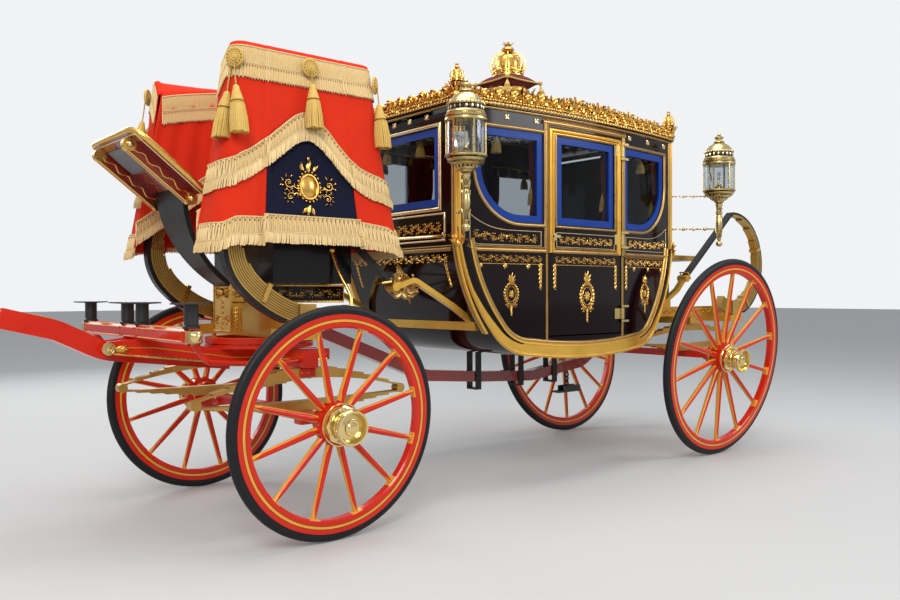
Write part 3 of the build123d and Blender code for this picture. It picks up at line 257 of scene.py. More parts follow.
def slab(rows, thickness, mat=0):
    """A closed plate between rows of points and the same rows moved along thickness vectors."""
    n, m = len(rows[0]), len(rows)
    out = Mesh()
    front = [Vector(p) for row in rows for p in row]
    if isinstance(thickness, Vector):
        back = [p + thickness for p in front]
    else:
        back = [p + Vector(t) for p, t in zip(front, [t for row in thickness for t in row])]
    out.verts = front + back
    half = len(front)
    for i in range(m - 1):
        for j in range(n - 1):
            a, b, c, d = i * n + j, i * n + j + 1, (i + 1) * n + j + 1, (i + 1) * n + j
            out.faces.append((a, b, c, d))
            out.faces.append((half + d, half + c, half + b, half + a))
    edge = (
        list(range(n))
        + [i * n + n - 1 for i in range(1, m)]
        + [(m - 1) * n + j for j in range(n - 2, -1, -1)]
        + [i * n for i in range(m - 2, 0, -1)]
    )
    for a, b in zip(edge, edge[1:] + edge[:1]):
        out.faces.append((b, a, half + a, half + b))
    out.mats = [mat] * len(out.faces)
    return out


def ball(centre, radius, rows=6, steps=10, mat=0, squash=1.0):
    angles = [math.pi * i / rows for i in range(rows + 1)]
    profile = [(max(radius * math.sin(a), 0), -radius * squash * math.cos(a)) for a in angles]
    return lathe(profile, centre, steps=steps, mat=mat)


def brick(low, high, mat=0, bevel=0.0):
    """A block with chamfered edges."""
    low, high = Vector(low), Vector(high)
    out = Mesh()
    b = min(bevel, *((high - low) / 2.001))
    corners = []
    for z, d in ((low.z, b), (low.z + b, 0), (high.z - b, 0), (high.z, b)):
        x0, x1, y0, y1 = low.x + d, high.x - d, low.y + d, high.y - d
        places = (
            (x0 + b, y0), (x1 - b, y0), (x1, y0 + b), (x1, y1 - b),
            (x1 - b, y1), (x0 + b, y1), (x0, y1 - b), (x0, y0 + b),
        )
        corners.append([(x, y, z) for x, y in places])
    return grid(corners, mat, closed=True).close_ends(8, mat)


def rope(points, radius, turns_per_metre=60, strands=3, mat=0, up=(0, 0, 1), closed=False):
    """A twisted cord: a lobed section that turns along the way."""
    points = resample(points, 0.0075 if radius < 0.01 else 0.01, closed)
    section = []
    for a in around(strands * 3):
        r = radius * (0.86 + 0.14 * math.cos(strands * a))
        section.append((r * math.cos(a), r * math.sin(a)))
    step = (points[1] - points[0]).length
    return sweep(points, section, up, closed=closed, twist=2 * math.pi * turns_per_metre * step / strands, mat=mat)


def resample(points, spacing, closed=False):
    points = [Vector(p) for p in points]
    if closed:
        points = points + [points[0]]
    lengths = [0.0]
    for a, b in zip(points, points[1:]):
        lengths.append(lengths[-1] + (b - a).length)
    total = lengths[-1]
    count = max(2, round(total / spacing))
    out, j = [], 0
    for i in range(count + (0 if closed else 1)):
        s = total * i / count
        while j < len(points) - 2 and lengths[j + 1] < s:
            j += 1
        span = max(lengths[j + 1] - lengths[j], 1e-9)
        out.append(points[j].lerp(points[j + 1], clamp((s - lengths[j]) / span)))
    return out


def arc(centre, radius, start, end, count=12):
    """Points of an arc in two numbers; angles in degrees."""
    angles = [math.radians(start + (end - start) * i / count) for i in range(count + 1)]
    return [(centre[0] + radius * math.cos(a), centre[1] + radius * math.sin(a)) for a in angles]


def through(points, count=16):
    """A smooth line through points, as a Catmull-Rom curve."""
    points = [Vector(p) for p in points]
    padded = [points[0] * 2 - points[1]] + points + [points[-1] * 2 - points[-2]]
    out = []
    for i in range(1, len(padded) - 2):
        a, b, c, d = padded[i - 1 : i + 3]
        for k in range(count):
            t = k / count
            out.append(
                0.5 * (2 * b + (c - a) * t + (2 * a - 5 * b + 4 * c - d) * t**2 + (3 * b - a - 3 * c + d) * t**3)
            )
    out.append(points[-1])
    return out


# Materials
def new_material(name):
    material = bpy.data.materials.new(name)
    material.use_nodes = True
    return material, material.node_tree, material.node_tree.nodes["Principled BSDF"]


def add_node(tree, kind, values=None, **settings):
    """A node with its settings; a value is set on the input, and another node's output is joined to it."""
    node = tree.nodes.new(kind)
    for key, value in settings.items():
        setattr(node, key, value)
    fill(tree, node, values or {})
    return node


def fill(tree, node, values):
    for key, value in values.items():
        if isinstance(value, bpy.types.NodeSocket):
            tree.links.new(value, node.inputs[key])
        else:
            node.inputs[key].default_value = value


def rgba(color):
    return (*color, 1.0)


def mixed(tree, factor, a, b):
    node = add_node(tree, "ShaderNodeMix", {"Factor": factor, "A": a, "B": b}, data_type="RGBA")
    return node.outputs["Result"]


def bumpy(tree, height, strength):
    node = add_node(tree, "ShaderNodeBump", {"Strength": strength, "Distance": 0.001, "Height": height})
    return node.outputs["Normal"]


def finish(
    name, light, dark, rough=0.4, rough_spread=0.08, metal=0.0, coat=0.0, scale=12.0, grain=0.0, grain_scale=400.0,
    hollow_shade=0.0, hollow_shade_color=None, sheen=0.0, sheen_color=None, specular=0.5,
):
    """A finish whose colour wanders between two tones, with a rough grain and optional painted shade in hollows."""
    material, tree, shader = new_material(name)
    spot = add_node(tree, "ShaderNodeTexCoord").outputs["Object"]
    noise = {"Vector": spot, "Scale": scale, "Detail": 4.0, "Roughness": 0.6}
    cloud = add_node(tree, "ShaderNodeTexNoise", noise).outputs["Fac"]
    color = mixed(tree, cloud, rgba(dark), rgba(light))
    # Painted shade: the colour darkens towards a dark tone in the hollows that ambient occlusion finds
    if hollow_shade:
        hollow = add_node(tree, "ShaderNodeAmbientOcclusion", {"Distance": 0.02}, samples=4)
        depth = {"Value": hollow.outputs["AO"], "From Min": 0.35, "From Max": 0.85, "To Min": hollow_shade, "To Max": 0.0}
        painted_shade = add_node(tree, "ShaderNodeMapRange", depth).outputs["Result"]
        color = mixed(tree, painted_shade, color, rgba(hollow_shade_color or tuple(c * 0.25 for c in dark)))
    spread = {"Value": cloud, "To Min": max(rough - rough_spread, 0.02), "To Max": rough + rough_spread}
    if grain:
        fine = add_node(tree, "ShaderNodeTexNoise", {"Vector": spot, "Scale": grain_scale, "Detail": 3.0})
        fill(tree, shader, {"Normal": bumpy(tree, fine.outputs["Fac"], grain)})
    if sheen:
        tint = rgba(sheen_color or light)
        fill(tree, shader, {"Sheen Weight": sheen, "Sheen Roughness": 0.5, "Sheen Tint": tint})
    fill(tree, shader, {
        "Base Color": color, "Roughness": add_node(tree, "ShaderNodeMapRange", spread).outputs["Result"],
        "Metallic": metal, "Specular IOR Level": specular, "Coat Weight": coat, "Coat Roughness": 0.05,
    })
    return material


vermilion = finish(
    "vermilion_paint", (0.66, 0.022, 0.004), (0.50, 0.013, 0.003), 0.22, 0.06, coat=0.22, grain=0.03, specular=0.25
)
dark_red = finish("dark_red_paint", (0.26, 0.014, 0.008), (0.17, 0.008, 0.006), 0.24, 0.06, coat=0.5, grain=0.03)
line_gold = finish("lining_gold", (0.78, 0.36, 0.035), (0.60, 0.25, 0.02), 0.34, 0.08, metal=0.35, grain=0.05)
lacquer = finish(
    "claret_lacquer", (0.0085, 0.0022, 0.0030), (0.0040, 0.0012, 0.0018), 0.09, 0.03, coat=0.12, grain=0.01,
    specular=0.17
)
lacquer_dull = finish(
    "black_lacquer", (0.009, 0.008, 0.009), (0.005, 0.004, 0.005), 0.22, 0.05, coat=0.1, grain=0.02, specular=0.25
)
# Burnished gold, spring gold, both brasses, bullion and silk tassels below carry painted shade in their hollows
gold = finish(
    "burnished_gold", (0.95, 0.60, 0.17), (0.70, 0.38, 0.07), 0.26, 0.10, metal=1.0, scale=40, grain=0.25,
    grain_scale=160, hollow_shade=0.75, hollow_shade_color=(0.10, 0.035, 0.008),
)
gold_band = finish("gold_band", (0.86, 0.52, 0.08), (0.70, 0.38, 0.05), 0.30, 0.08, metal=0.75, coat=0.3, grain=0.05)
bronze_gold = finish("bronze_gold", (0.50, 0.32, 0.12), (0.36, 0.21, 0.06), 0.30, 0.1, metal=0.9, grain=0.08)
pale_gold = finish("pale_gold", (0.90, 0.74, 0.46), (0.70, 0.52, 0.26), 0.24, 0.08, metal=1.0, grain=0.06)
spring_gold = finish(
    "spring_gold", (0.60, 0.38, 0.10), (0.44, 0.26, 0.05), 0.36, 0.1, metal=0.7, grain=0.12, hollow_shade=0.6,
    hollow_shade_color=(0.05, 0.02, 0.006),
)
brass = finish("polished_brass", (0.92, 0.74, 0.36), (0.74, 0.54, 0.20), 0.15, 0.07, metal=1.0, grain=0.04, hollow_shade=0.35)
old_brass = finish(
    "old_brass", (0.74, 0.60, 0.30), (0.50, 0.38, 0.15), 0.28, 0.12, metal=1.0, scale=30, grain=0.12, hollow_shade=0.7,
    hollow_shade_color=(0.05, 0.035, 0.012),
)
rubber = finish(
    "tyre_rubber", (0.009, 0.0095, 0.0115), (0.005, 0.005, 0.0065), 0.50, 0.12, grain=0.2, grain_scale=700,
    specular=0.28
)
iron = finish("black_iron", (0.020, 0.020, 0.022), (0.010, 0.010, 0.012), 0.35, 0.1, grain=0.15, specular=0.5)
leather = finish(
    "harness_leather", (0.011, 0.010, 0.011), (0.006, 0.0055, 0.006), 0.36, 0.12, coat=0.06, grain=0.5, grain_scale=900,
    specular=0.3,
)
blue = finish(
    "sash_blue", (0.006, 0.046, 0.290), (0.004, 0.030, 0.200), 0.34, 0.06, coat=0.04, grain=0.03, specular=0.16
)
red_cloth = finish(
    "vermilion_broadcloth", (0.72, 0.030, 0.006), (0.56, 0.018, 0.004), 0.85, 0.08, scale=5, grain=0.7,
    grain_scale=1400, sheen=0.15, sheen_color=(1.0, 0.25, 0.12), specular=0.2,
)
navy_cloth = finish(
    "navy_cloth", (0.006, 0.007, 0.030), (0.003, 0.003, 0.014), 0.8, 0.08, scale=9, grain=0.6, grain_scale=1400,
    sheen=0.1, sheen_color=(0.1, 0.12, 0.4), specular=0.2,
)
bullion = finish(
    "bullion_fringe", (0.88, 0.68, 0.36), (0.74, 0.52, 0.22), 0.60, 0.12, scale=60, grain=0.9, grain_scale=900,
    hollow_shade=0.6, hollow_shade_color=(0.26, 0.13, 0.035), sheen=0.2, specular=0.35,
)
# Painted shade for the gaps between the fringe's loops
bullion_shade = finish("bullion_gap_shade", (0.30, 0.12, 0.030), (0.20, 0.07, 0.015), 0.8, 0.05, specular=0.1)
silk_gold = finish(
    "silk_tassel", (0.74, 0.50, 0.13), (0.52, 0.31, 0.05), 0.48, 0.1, scale=70, grain=0.8, grain_scale=900,
    hollow_shade=0.7, hollow_shade_color=(0.14, 0.06, 0.01), sheen=0.2, specular=0.4,
)
damask = finish(
    "crimson_damask", (0.28, 0.012, 0.022), (0.13, 0.006, 0.012), 0.62, 0.16, scale=26, grain=0.4, sheen=0.3,
    sheen_color=(0.8, 0.2, 0.2),
)
dark_red_cloth = finish("cushion_velvet", (0.16, 0.010, 0.012), (0.09, 0.006, 0.008), 0.8, 0.1, grain=0.5, sheen=0.4)
carpet = finish("cabin_carpet", (0.10, 0.012, 0.016), (0.05, 0.006, 0.008), 0.95, 0.04, grain=0.9, grain_scale=600)
pad_grey = finish("grey_pad", (0.22, 0.22, 0.23), (0.15, 0.15, 0.16), 0.75, 0.1, grain=0.5)


def glass_finish(name, tint, specular, ior=1.45):
    material, tree, shader = new_material(name)
    cloud = add_node(tree, "ShaderNodeTexNoise", {"Scale": 3.0, "Detail": 2.0}).outputs["Fac"]
    spread = add_node(tree, "ShaderNodeMapRange", {"Value": cloud, "To Min": 0.02, "To Max": 0.04})
    fill(tree, shader, {
        "Roughness": spread.outputs["Result"], "Normal": bumpy(tree, cloud, 0.006), "Base Color": rgba(tint),
        "Transmission Weight": 1.0, "Specular IOR Level": specular, "IOR": ior,
    })
    return material


clear_glass = glass_finish("clear_glass", (0.80, 0.84, 0.85), 0.3)
window_pane = glass_finish("window_pane", (0.62, 0.66, 0.68), 0.08, 1.16)


# The wheels' lining: gold lines round the felloe and along both edges of every spoke
TYRE_ROUND, TYRE_DEPTH, FELLOE_DEPTH = 0.024, 0.042, 0.068


def wheel_finish(name, centre, axis, radius, spokes):
    """Vermilion with gold lines, painted by the distance from the hub and the angle round it."""
    material = finish(
        name, (0.66, 0.022, 0.004), (0.52, 0.013, 0.003), 0.22, 0.06, coat=0.22, grain=0.03, specular=0.25
    )
    tree = material.node_tree
    shader = tree.nodes["Principled BSDF"]
    base = shader.inputs["Base Color"].links[0].from_socket
    spot = add_node(tree, "ShaderNodeTexCoord").outputs["Object"]
    local = add_node(tree, "ShaderNodeVectorMath", {0: spot, 1: centre}, operation="SUBTRACT").outputs["Vector"]
    axis = Vector(axis).normalized()
    u_way = Vector((1, 0, 0))

    def along(way):
        return add_node(tree, "ShaderNodeVectorMath", {0: local, 1: way}, operation="DOT_PRODUCT").outputs["Value"]

    def maths(kind):
        return lambda *values: add_node(tree, "ShaderNodeMath", dict(enumerate(values)), operation=kind).outputs[0]

    plus, minus, times, either = maths("ADD"), maths("SUBTRACT"), maths("MULTIPLY"), maths("MAXIMUM")
    over, under, near = maths("GREATER_THAN"), maths("LESS_THAN"), maths("COMPARE")
    u, v, w = along(u_way), along(axis.cross(u_way).normalized()), along(axis)
    reach = maths("SQRT")(plus(times(u, u), times(v, v)))
    pitch = 2 * math.pi / spokes
    turned = maths("PINGPONG")(plus(maths("ARCTAN2")(v, u), 20 * math.pi + pitch / 2), pitch / 2)
    across = times(reach, maths("SINE")(turned))
    felloe_in = radius - TYRE_DEPTH - FELLOE_DEPTH
    mid = felloe_in + 0.036
    faces = either(over(w, 0.012), under(w, -0.012))
    felloe_line = times(near(reach, mid, 0.0062), faces)
    dark_line = times(either(near(reach, mid + 0.0080, 0.0016), near(reach, mid - 0.0080, 0.0016)), faces)
    # Along a spoke: its edge widens at both ends and tapers between them
    on_spoke = times(over(reach, 0.112), under(reach, felloe_in + 0.004))
    widen = either(times(minus(reach, felloe_in - 0.055), 0.16), times(minus(0.155, reach), 0.16))
    taper = 0.006 / (felloe_in - 0.092)
    edge = minus(minus(0.0155 + 0.092 * taper, times(reach, taper)), either(widen, 0.0))
    spoke_line = times(on_spoke, times(over(across, edge), under(across, 0.030)))
    hub_rings = times(under(reach, 0.108), either(near(w, 0.022, 0.0080), near(w, -0.085, 0.006)))
    mask = either(either(felloe_line, spoke_line), hub_rings)
    patch = add_node(tree, "ShaderNodeTexNoise", {"Scale": 9.0}).outputs["Fac"]
    lines = mixed(tree, patch, rgba((0.62, 0.25, 0.02)), rgba((0.86, 0.42, 0.05)))
    lined = mixed(tree, mask, base, lines)
    fill(tree, shader, {"Base Color": mixed(tree, dark_line, lined, rgba((0.13, 0.02, 0.008)))})
    return material


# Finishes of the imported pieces
def paint(node, material):
    mesh = nodes[node].data
    mesh.materials.clear()
    mesh.materials.append(material)


for names, material in (
    ("perch", dark_red),
    ("rear_axle front_axle futchells splinter_bar pole lower_wheel_plate upper_wheel_plate", vermilion),
    ("rear_carriage upper_fore_carriage body_loops rocker_bands", gold_band),
    ("rear_under_springs front_under_springs rear_c_springs front_c_springs", spring_gold),
    ("braces boot_front check_straps", leather),
    ("drag_shoe roller_bolts", iron),
    ("body_bottom front_panel rear_panel quarter_panels roof door_left door_right", lacquer),
    ("boot platform", lacquer_dull),
    ("cresting centre_crown", gold),
    ("window_frames door_frame_left door_frame_right", blue),
    ("window_glass door_glass_left door_glass_right", window_pane),
    ("lamp_glasses", clear_glass),
    ("cabin_seats", damask),
    ("lamps", old_brass),
    ("pole_head door_hinges door_furniture_left door_furniture_right", brass),
    ("footboard", vermilion),
    ("hammercloth", red_cloth),
    ("roof_cushion", dark_red_cloth),
    ("tyre_fl tyre_fr tyre_rl tyre_rr", rubber),
    ("hub_cap_fl hub_cap_fr hub_cap_rl hub_cap_rr", brass),
):
    for node in names.split():
        paint(node, material)

# Wheels: end, the axle's X, radius, track, camber in degrees, spokes; kept as hub centre, axis, radius, spokes
WHEELS = {}
for end, x, radius, track, camber, spokes in (
    ("f", FRONT_X, 0.583, 1.620, 3.3, 12),
    ("r", REAR_X, 0.740, 1.650, 6.5, 14),
):
    tilt = math.radians(camber)
    height = (radius - TYRE_ROUND) * math.cos(tilt) + TYRE_ROUND
    for side, sign in (("l", 1), ("r", -1)):
        centre = Vector((x, sign * track / 2, height))
        axis = Vector((0, sign * math.cos(tilt), -math.sin(tilt)))
        WHEELS[end + side] = (centre, axis, radius, spokes)
        paint(f"wheel_{end}{side}", wheel_finish(f"wheel_paint_{end}{side}", centre, axis, radius, spokes))


# Cloth, fringes and tassels
class Ribbon:
    """A line that cloth trimming hangs from: places on it are given by way along, drop and stand-off."""

    def __init__(self, points, normals, downs):
        self.lengths = [0.0]
        for a, b in zip(points, points[1:]):
            self.lengths.append(self.lengths[-1] + (b - a).length)
        self.points, self.normals, self.downs = points, normals, downs
        self.total = self.lengths[-1]
        self.last = 0

    def at(self, s, drop=0.0, out=0.0):
        s = min(max(s, 0.0), self.total)
        j = self.last if self.lengths[self.last] <= s else 0
        while j < len(self.points) - 2 and self.lengths[j + 1] < s:
            j += 1
        self.last = j
        span = max(self.lengths[j + 1] - self.lengths[j], 1e-9)
        t = (s - self.lengths[j]) / span
        base = self.points[j].lerp(self.points[j + 1], t)
        normal = self.normals[j].lerp(self.normals[j + 1], t).normalized()
        down = self.downs[j].lerp(self.downs[j + 1], t).normalized()
        return base + down * drop + normal * out

    def line(self, drop=0.0, out=0.0, step=0.02):
        count = max(2, round(self.total / step))
        return [self.at(self.total * i / count, drop, out) for i in range(count + 1)]


LEANING = (0.3, 0.2, 1)


def bar(mesh, points, radius, sides=5, end=0.75):
    """A short tapered strand."""
    last = len(points) - 1
    scales = [1.0 - (1.0 - end) * i / last for i in range(last + 1)]
    mesh.merge(sweep(points, ring(radius, sides), up=LEANING, scales=scales))


def backing(mesh, ribbon, top, bottom, out, step=0.02):
    count = max(2, round(ribbon.total / step))
    rows, push = [], []
    for drop in (top, (top + bottom) / 2, bottom):
        rows.append([ribbon.at(ribbon.total * i / count, drop, out) for i in range(count + 1)])
        push.append([ribbon.at(ribbon.total * i / count, drop, out - 0.004) - rows[-1][i] for i in range(count + 1)])
    mesh.merge(slab(rows, push))


def cord_line(mesh, ribbon, drop, out, radius):
    mesh.merge(rope(ribbon.line(drop, out, 0.02), radius, turns_per_metre=70, up=(0.1, 0.1, 1)))


def skirt(mesh, ribbon, top, height, pitch=0.0095, radius=0.0046, out=0.006, uneven=0.006):
    """Hanging bullion strands, a little uneven in length and lean."""
    count = int(ribbon.total / pitch)
    for i in range(count):
        s = (i + 0.5) * ribbon.total / count
        lean = random.uniform(-0.5, 0.5) * pitch
        reach = height + random.uniform(-uneven, uneven * 0.5)
        swell = random.uniform(0.0, 0.004)
        line = [
            ribbon.at(s, top, out),
            ribbon.at(s + lean * 0.4, top + reach * 0.5, out + 0.004 + swell),
            ribbon.at(s + lean, top + reach, out + 0.002 + swell),
        ]
        bar(mesh, line, radius, sides=4, end=0.95)


def upright_row(mesh, ribbon, top, height, pitch, radius, out, slant=0.25):
    """Fat touching strands from a cord down to the next."""
    count = max(1, int(ribbon.total / pitch))
    pitch = ribbon.total / count
    for i in range(count):
        s = (i + 0.5) * pitch
        lean = slant * pitch * (1 if i % 2 else -1)
        line = [
            ribbon.at(s - lean, top, out - 0.001),
            ribbon.at(s, top + height * 0.5, out + 0.002),
            ribbon.at(s + lean, top + height, out - 0.001),
        ]
        mesh.merge(sweep(line, ring(radius, 4, turn=math.pi / 4), up=LEANING))


def hole_row(mesh, ribbon, drop, pitch, size, out):
    """The small dark gaps between the loops: painted shade, as dark blobs."""
    count = max(1, int(ribbon.total / pitch))
    pitch = ribbon.total / count
    for i in range(count):
        s = (i + 0.5) * pitch
        ends = [ribbon.at(s, drop - size, out), ribbon.at(s, drop, out + 0.0016), ribbon.at(s, drop + size, out)]
        mesh.merge(sweep(ends, ring(size * 0.62, 5), up=LEANING, scales=[0.4, 1.0, 0.4], mat=1))


def bullion_fringe(mesh, ribbon, header, hang, out=0.004):
    """The deep fringe: a cord, fat upright loops, a second cord and a dense cut skirt."""
    backing(mesh, ribbon, 0.0, header + hang * 0.9, out + 0.002)
    cord_line(mesh, ribbon, 0.004, out + 0.005, 0.0055)
    upright_row(mesh, ribbon, 0.006, header - 0.010, 0.0125, 0.0062, out + 0.003)
    hole_row(mesh, ribbon, 0.020, 0.025, 0.0052, out + 0.0085)
    cord_line(mesh, ribbon, header - 0.002, out + 0.006, 0.005)
    skirt(mesh, ribbon, header, hang, pitch=0.0070, radius=0.0041, out=out + 0.005, uneven=0.004)


def looped_fringe(mesh, ribbon, header, hang, out=0.004):
    """The top fringe: a fine ribbed header, a row of gaps, then dense hanging loops."""
    backing(mesh, ribbon, 0.0, header + hang * 0.86, out + 0.003)
    cord_line(mesh, ribbon, 0.003, out + 0.004, 0.005)
    upright_row(mesh, ribbon, 0.004, header - 0.006, 0.0075, 0.0040, out + 0.002, slant=0.0)
    cord_line(mesh, ribbon, header, out + 0.005, 0.0045)
    hole_row(mesh, ribbon, header + 0.013, 0.014, 0.0045, out + 0.0055)
    count = int(ribbon.total / 0.014)
    for i in range(count):
        s = (i + 0.5) * ribbon.total / count
        reach = hang * random.uniform(0.95, 1.0)
        loop = [
            ribbon.at(s - 0.0038, header + 0.002, out + 0.003),
            ribbon.at(s - 0.0042, header + reach * 0.86, out + 0.007),
            ribbon.at(s, header + reach, out + 0.008),
            ribbon.at(s + 0.0042, header + reach * 0.86, out + 0.007),
            ribbon.at(s + 0.0038, header + 0.002, out + 0.003),
        ]
        mesh.merge(sweep(loop, ring(0.0044, 4, turn=math.pi / 4), up=LEANING))


def tassel(mesh, top, length, width, out=(0, 1, 0), strands=26, cord=0.0, rosette=0.0, lean=(0, 0, 0)):
    """A rosette, its cord, a turned head with a collar, and a skirt of strands."""
    top, out = Vector(top), Vector(out).normalized()
    side = out.cross(Vector((0, 0, 1))).normalized()
    if rosette:
        face = top + out * 0.006
        turn = Vector((0, 0, 1)).rotation_difference(out).to_matrix()
        for radius, thick in ((rosette, 0.007), (rosette * 0.68, 0.006), (rosette * 0.4, 0.006)):
            circle = [face + turn @ polar(radius, a, 0.004 + (rosette - radius) * 0.30) for a in around(24)]
            mesh.merge(sweep(circle, ring(thick, 6), up=tuple(out), closed=True))
        for a in around(14):
            petal = face + turn @ polar(rosette * 0.86, a, 0.008)
            mesh.merge(ball(petal, rosette * 0.17, rows=4, steps=6, squash=0.8))
        dome = [(rosette * 0.96, 0), (rosette * 0.9, 0.008), (rosette * 0.3, 0.016), (0, 0.018)]
        mesh.merge(lathe(dome, face, out, 20))
    down = Vector((lean[0], lean[1], -1)).normalized()
    start = top + out * (0.022 if rosette else 0.0)
    if cord:
        mesh.merge(rope([start, start + down * (cord * 0.5), start + down * cord], 0.0045, 80, up=(0.4, 0.3, 0.1)))
    head = start + down * cord
    h = length * 0.40
    profile = [
        (0.004, 0), (width * 0.20, h * 0.10), (width * 0.26, h * 0.3), (width * 0.42, h * 0.70),
        (width * 0.47, h * 0.86), (width * 0.36, h * 0.92), (width * 0.50, h * 0.97), (width * 0.50, h * 1.06),
        (width * 0.40, h * 1.10),
    ]
    large = width > 0.045
    mesh.merge(lathe(profile, head, down, 18 if large else 12, flutes=18 if large else 0, flute_depth=0.09))
    for k in range(strands):
        a = 2 * math.pi * k / strands + random.uniform(-0.05, 0.05)
        r0, r1 = width * 0.40, width * random.uniform(0.50, 0.56)
        reach = length * random.uniform(0.97, 1.0)
        spoke = side * math.cos(a) + out * math.sin(a)
        falls = ((h * 1.02, r0), (length * 0.7, r1 * 0.97), (reach, r1))
        bar(mesh, [head + down * drop + spoke * r for drop, r in falls], width * 0.085, end=1.0)
    mesh.merge(lathe([(width * 0.40, h * 1.04), (width * 0.50, length * 0.96), (0, length * 0.95)], head, down, 14))


# Gilt scrollwork: half-round ridges laid on a surface
class Face:
    """A surface that ornament lies on: place(u, v, out) gives a point, up the way it stands out."""

    def __init__(self, place):
        self.place = place


def ridge(mesh, face, line, widths, height, mat=0, sides=4):
    """A ridge along a line of (u, v), of changing half-width, rounded on top."""
    n = len(line)
    rows = []
    for i, (u, v) in enumerate(line):
        a, b = line[max(i - 1, 0)], line[min(i + 1, n - 1)]
        du, dv = b[0] - a[0], b[1] - a[1]
        size = math.hypot(du, dv) or 1e-9
        pu, pv = -dv / size, du / size
        w = widths(i / (n - 1)) if callable(widths) else widths
        h = height * min(1.0, w / 0.004) if w < 0.004 else height
        row = []
        for k in range(sides):
            t = -1 + 2 * k / (sides - 1)
            row.append(face.place(u + pu * w * t, v + pv * w * t, h * math.sqrt(max(1 - t * t, 0))))
        row.append(face.place(u, v, -0.002))
        rows.append(row)
    mesh.merge(grid(rows, mat, closed=True).close_ends(sides + 1, mat))


def spiral(centre, start_radius, end_radius, start, turns, count=20):
    """A line that winds in from a start angle; turns may be negative."""
    out = []
    for i in range(count + 1):
        t = i / count
        r = start_radius * (end_radius / start_radius) ** t
        a = math.radians(start) + 2 * math.pi * turns * t
        out.append((centre[0] + r * math.cos(a), centre[1] + r * math.sin(a)))
    return out


def swell(full, tip=0.25, peak=0.3):
    return lambda t: full * (tip + (1 - tip) * (min(t / peak, 1.0) if t < peak else 1 - (t - peak) / (1 - peak)) ** 0.8)


def leaf_shape(mesh, face, at, angle, length, width, height, mat=0):
    """A small pointed leaf with a bent tip."""
    c, s = math.cos(math.radians(angle)), math.sin(math.radians(angle))
    line = []
    for i in range(5):
        t = i / 4
        bend = 0.25 * length * t * t
        line.append((at[0] + c * length * t - s * bend, at[1] + s * length * t + c * bend))
    ridge(mesh, face, line, lambda t: width * math.sin(math.pi * min(0.12 + 0.88 * t, 0.985)), height, mat)


def acanthus_scroll(mesh, face, at, size, flip=1, up=1, height=0.004, mat=0):
    """One running scroll: a stem that winds into a rosette, with leaves thrown off it."""

    def local(points):
        return [(at[0] + flip * x * size, at[1] + up * y * size) for x, y in points]

    stem = [(-1.0, -0.35), (-0.62, -0.42), (-0.3, -0.30)]
    coil = spiral((0.1, 0.0), 0.45, 0.10, 215, 1.35)
    line = [(p.x, p.y) for p in through([(x, y, 0) for x, y in stem + coil[:3]], 3)][:-1] + coil[3:]
    ridge(mesh, face, local(line), swell(size * 0.095, 0.35, 0.25), height, mat)
    ridge(mesh, face, local(spiral((0.1, 0.0), 0.09, 0.04, 0, 1.0, 6)), size * 0.05, height * 1.3, mat)
    for x, y, way, length in (
        (-0.72, -0.40, 100, 0.42), (-0.45, -0.38, 70, 0.36), (-0.25, -0.38, -60, 0.32),
        (0.20, -0.45, -50, 0.34), (0.52, -0.22, -10, 0.36), (0.56, 0.12, 40, 0.34),
        (0.32, 0.42, 75, 0.32), (-0.02, 0.46, 130, 0.34),
    ):
        px, py = local([(x, y)])[0]
        tx, ty = local([(x + math.cos(math.radians(way)) * 0.1, y + math.sin(math.radians(way)) * 0.1)])[0]
        angle = math.degrees(math.atan2(ty - py, tx - px))
        leaf_shape(mesh, face, (px, py), angle, size * length, size * 0.085, height, mat)


# The hammercloth
CLOTH_TOP, CLOTH_LOW = 2.446, 1.445
RECESS = 0.420
RECESS_BACK = ahead(0.010)
HEM_TIP = ahead(0.640), 1.420
HEM_SLOPE = 0.72
CHEEK_LOW = 1.565


SEAT_TOP = 2.4505
LID_INSET = 0.022


def cloth_sizes(z):
    t = (2.450 - z) / 1.020
    flare = 0.82 * t + 0.18 * t**3
    front = ahead(0.398 + 0.152 * flare)
    rear = ahead(-0.388 - 0.184 * flare)
    return front, rear, 0.548 + 0.070 * flare, 0.055 + 0.035 * t


def cloth_point(station, z, out=0.0):
    """A place on the hammercloth: whole stations are its corners, counted from the left of the front opening."""
    front, rear, half, r = cloth_sizes(z)
    seg = min(int(station), 8)
    f = station - seg
    pleat = 0.0
    if seg in (0, 8):
        f = f if seg == 0 else 1 - f
        y = RECESS + (half - r - RECESS) * f
        p, n = (front, y), (1, 0)
        p, n = ((p[0], -p[1]), n) if seg == 8 else (p, n)
    elif seg in (2, 6):
        f = f if seg == 2 else 1 - f
        x = front - r + (rear - front + 2 * r) * f
        p, n = (x, half), (0, 1)
        for fold in (0.160, 0.795):
            d = (f - fold) / 0.018
            pleat += 0.010 * math.exp(-((d - 1) ** 2)) - 0.012 * math.exp(-((d + 0.8) ** 2) * 1.5)
        p, n = ((p[0], -p[1]), (0, -1)) if seg == 6 else (p, n)
    elif seg == 4:
        p, n = (rear, (half - r) * (1 - 2 * f)), (-1, 0)
        pleat = 0.006 * math.cos(f * 6 * math.pi)
    else:
        a = math.radians({1: 0, 3: 90, 5: 180, 7: 270}[seg] + 90 * f)
        cx = front - r if seg in (1, 7) else rear + r
        cy = (half - r) * (1 if seg in (1, 3) else -1)
        n = (math.cos(a), math.sin(a))
        p = (cx + r * n[0], cy + r * n[1])
    depth = (2.45 - z) / 1.02
    out += pleat * (0.35 + 0.65 * depth)
    return Vector((p[0] + n[0] * out, p[1] + n[1] * out, z))


def cloth_normal(station):
    p = cloth_point(station, 1.9, 0.0)
    return (cloth_point(station, 1.9, 0.05) - p).normalized()


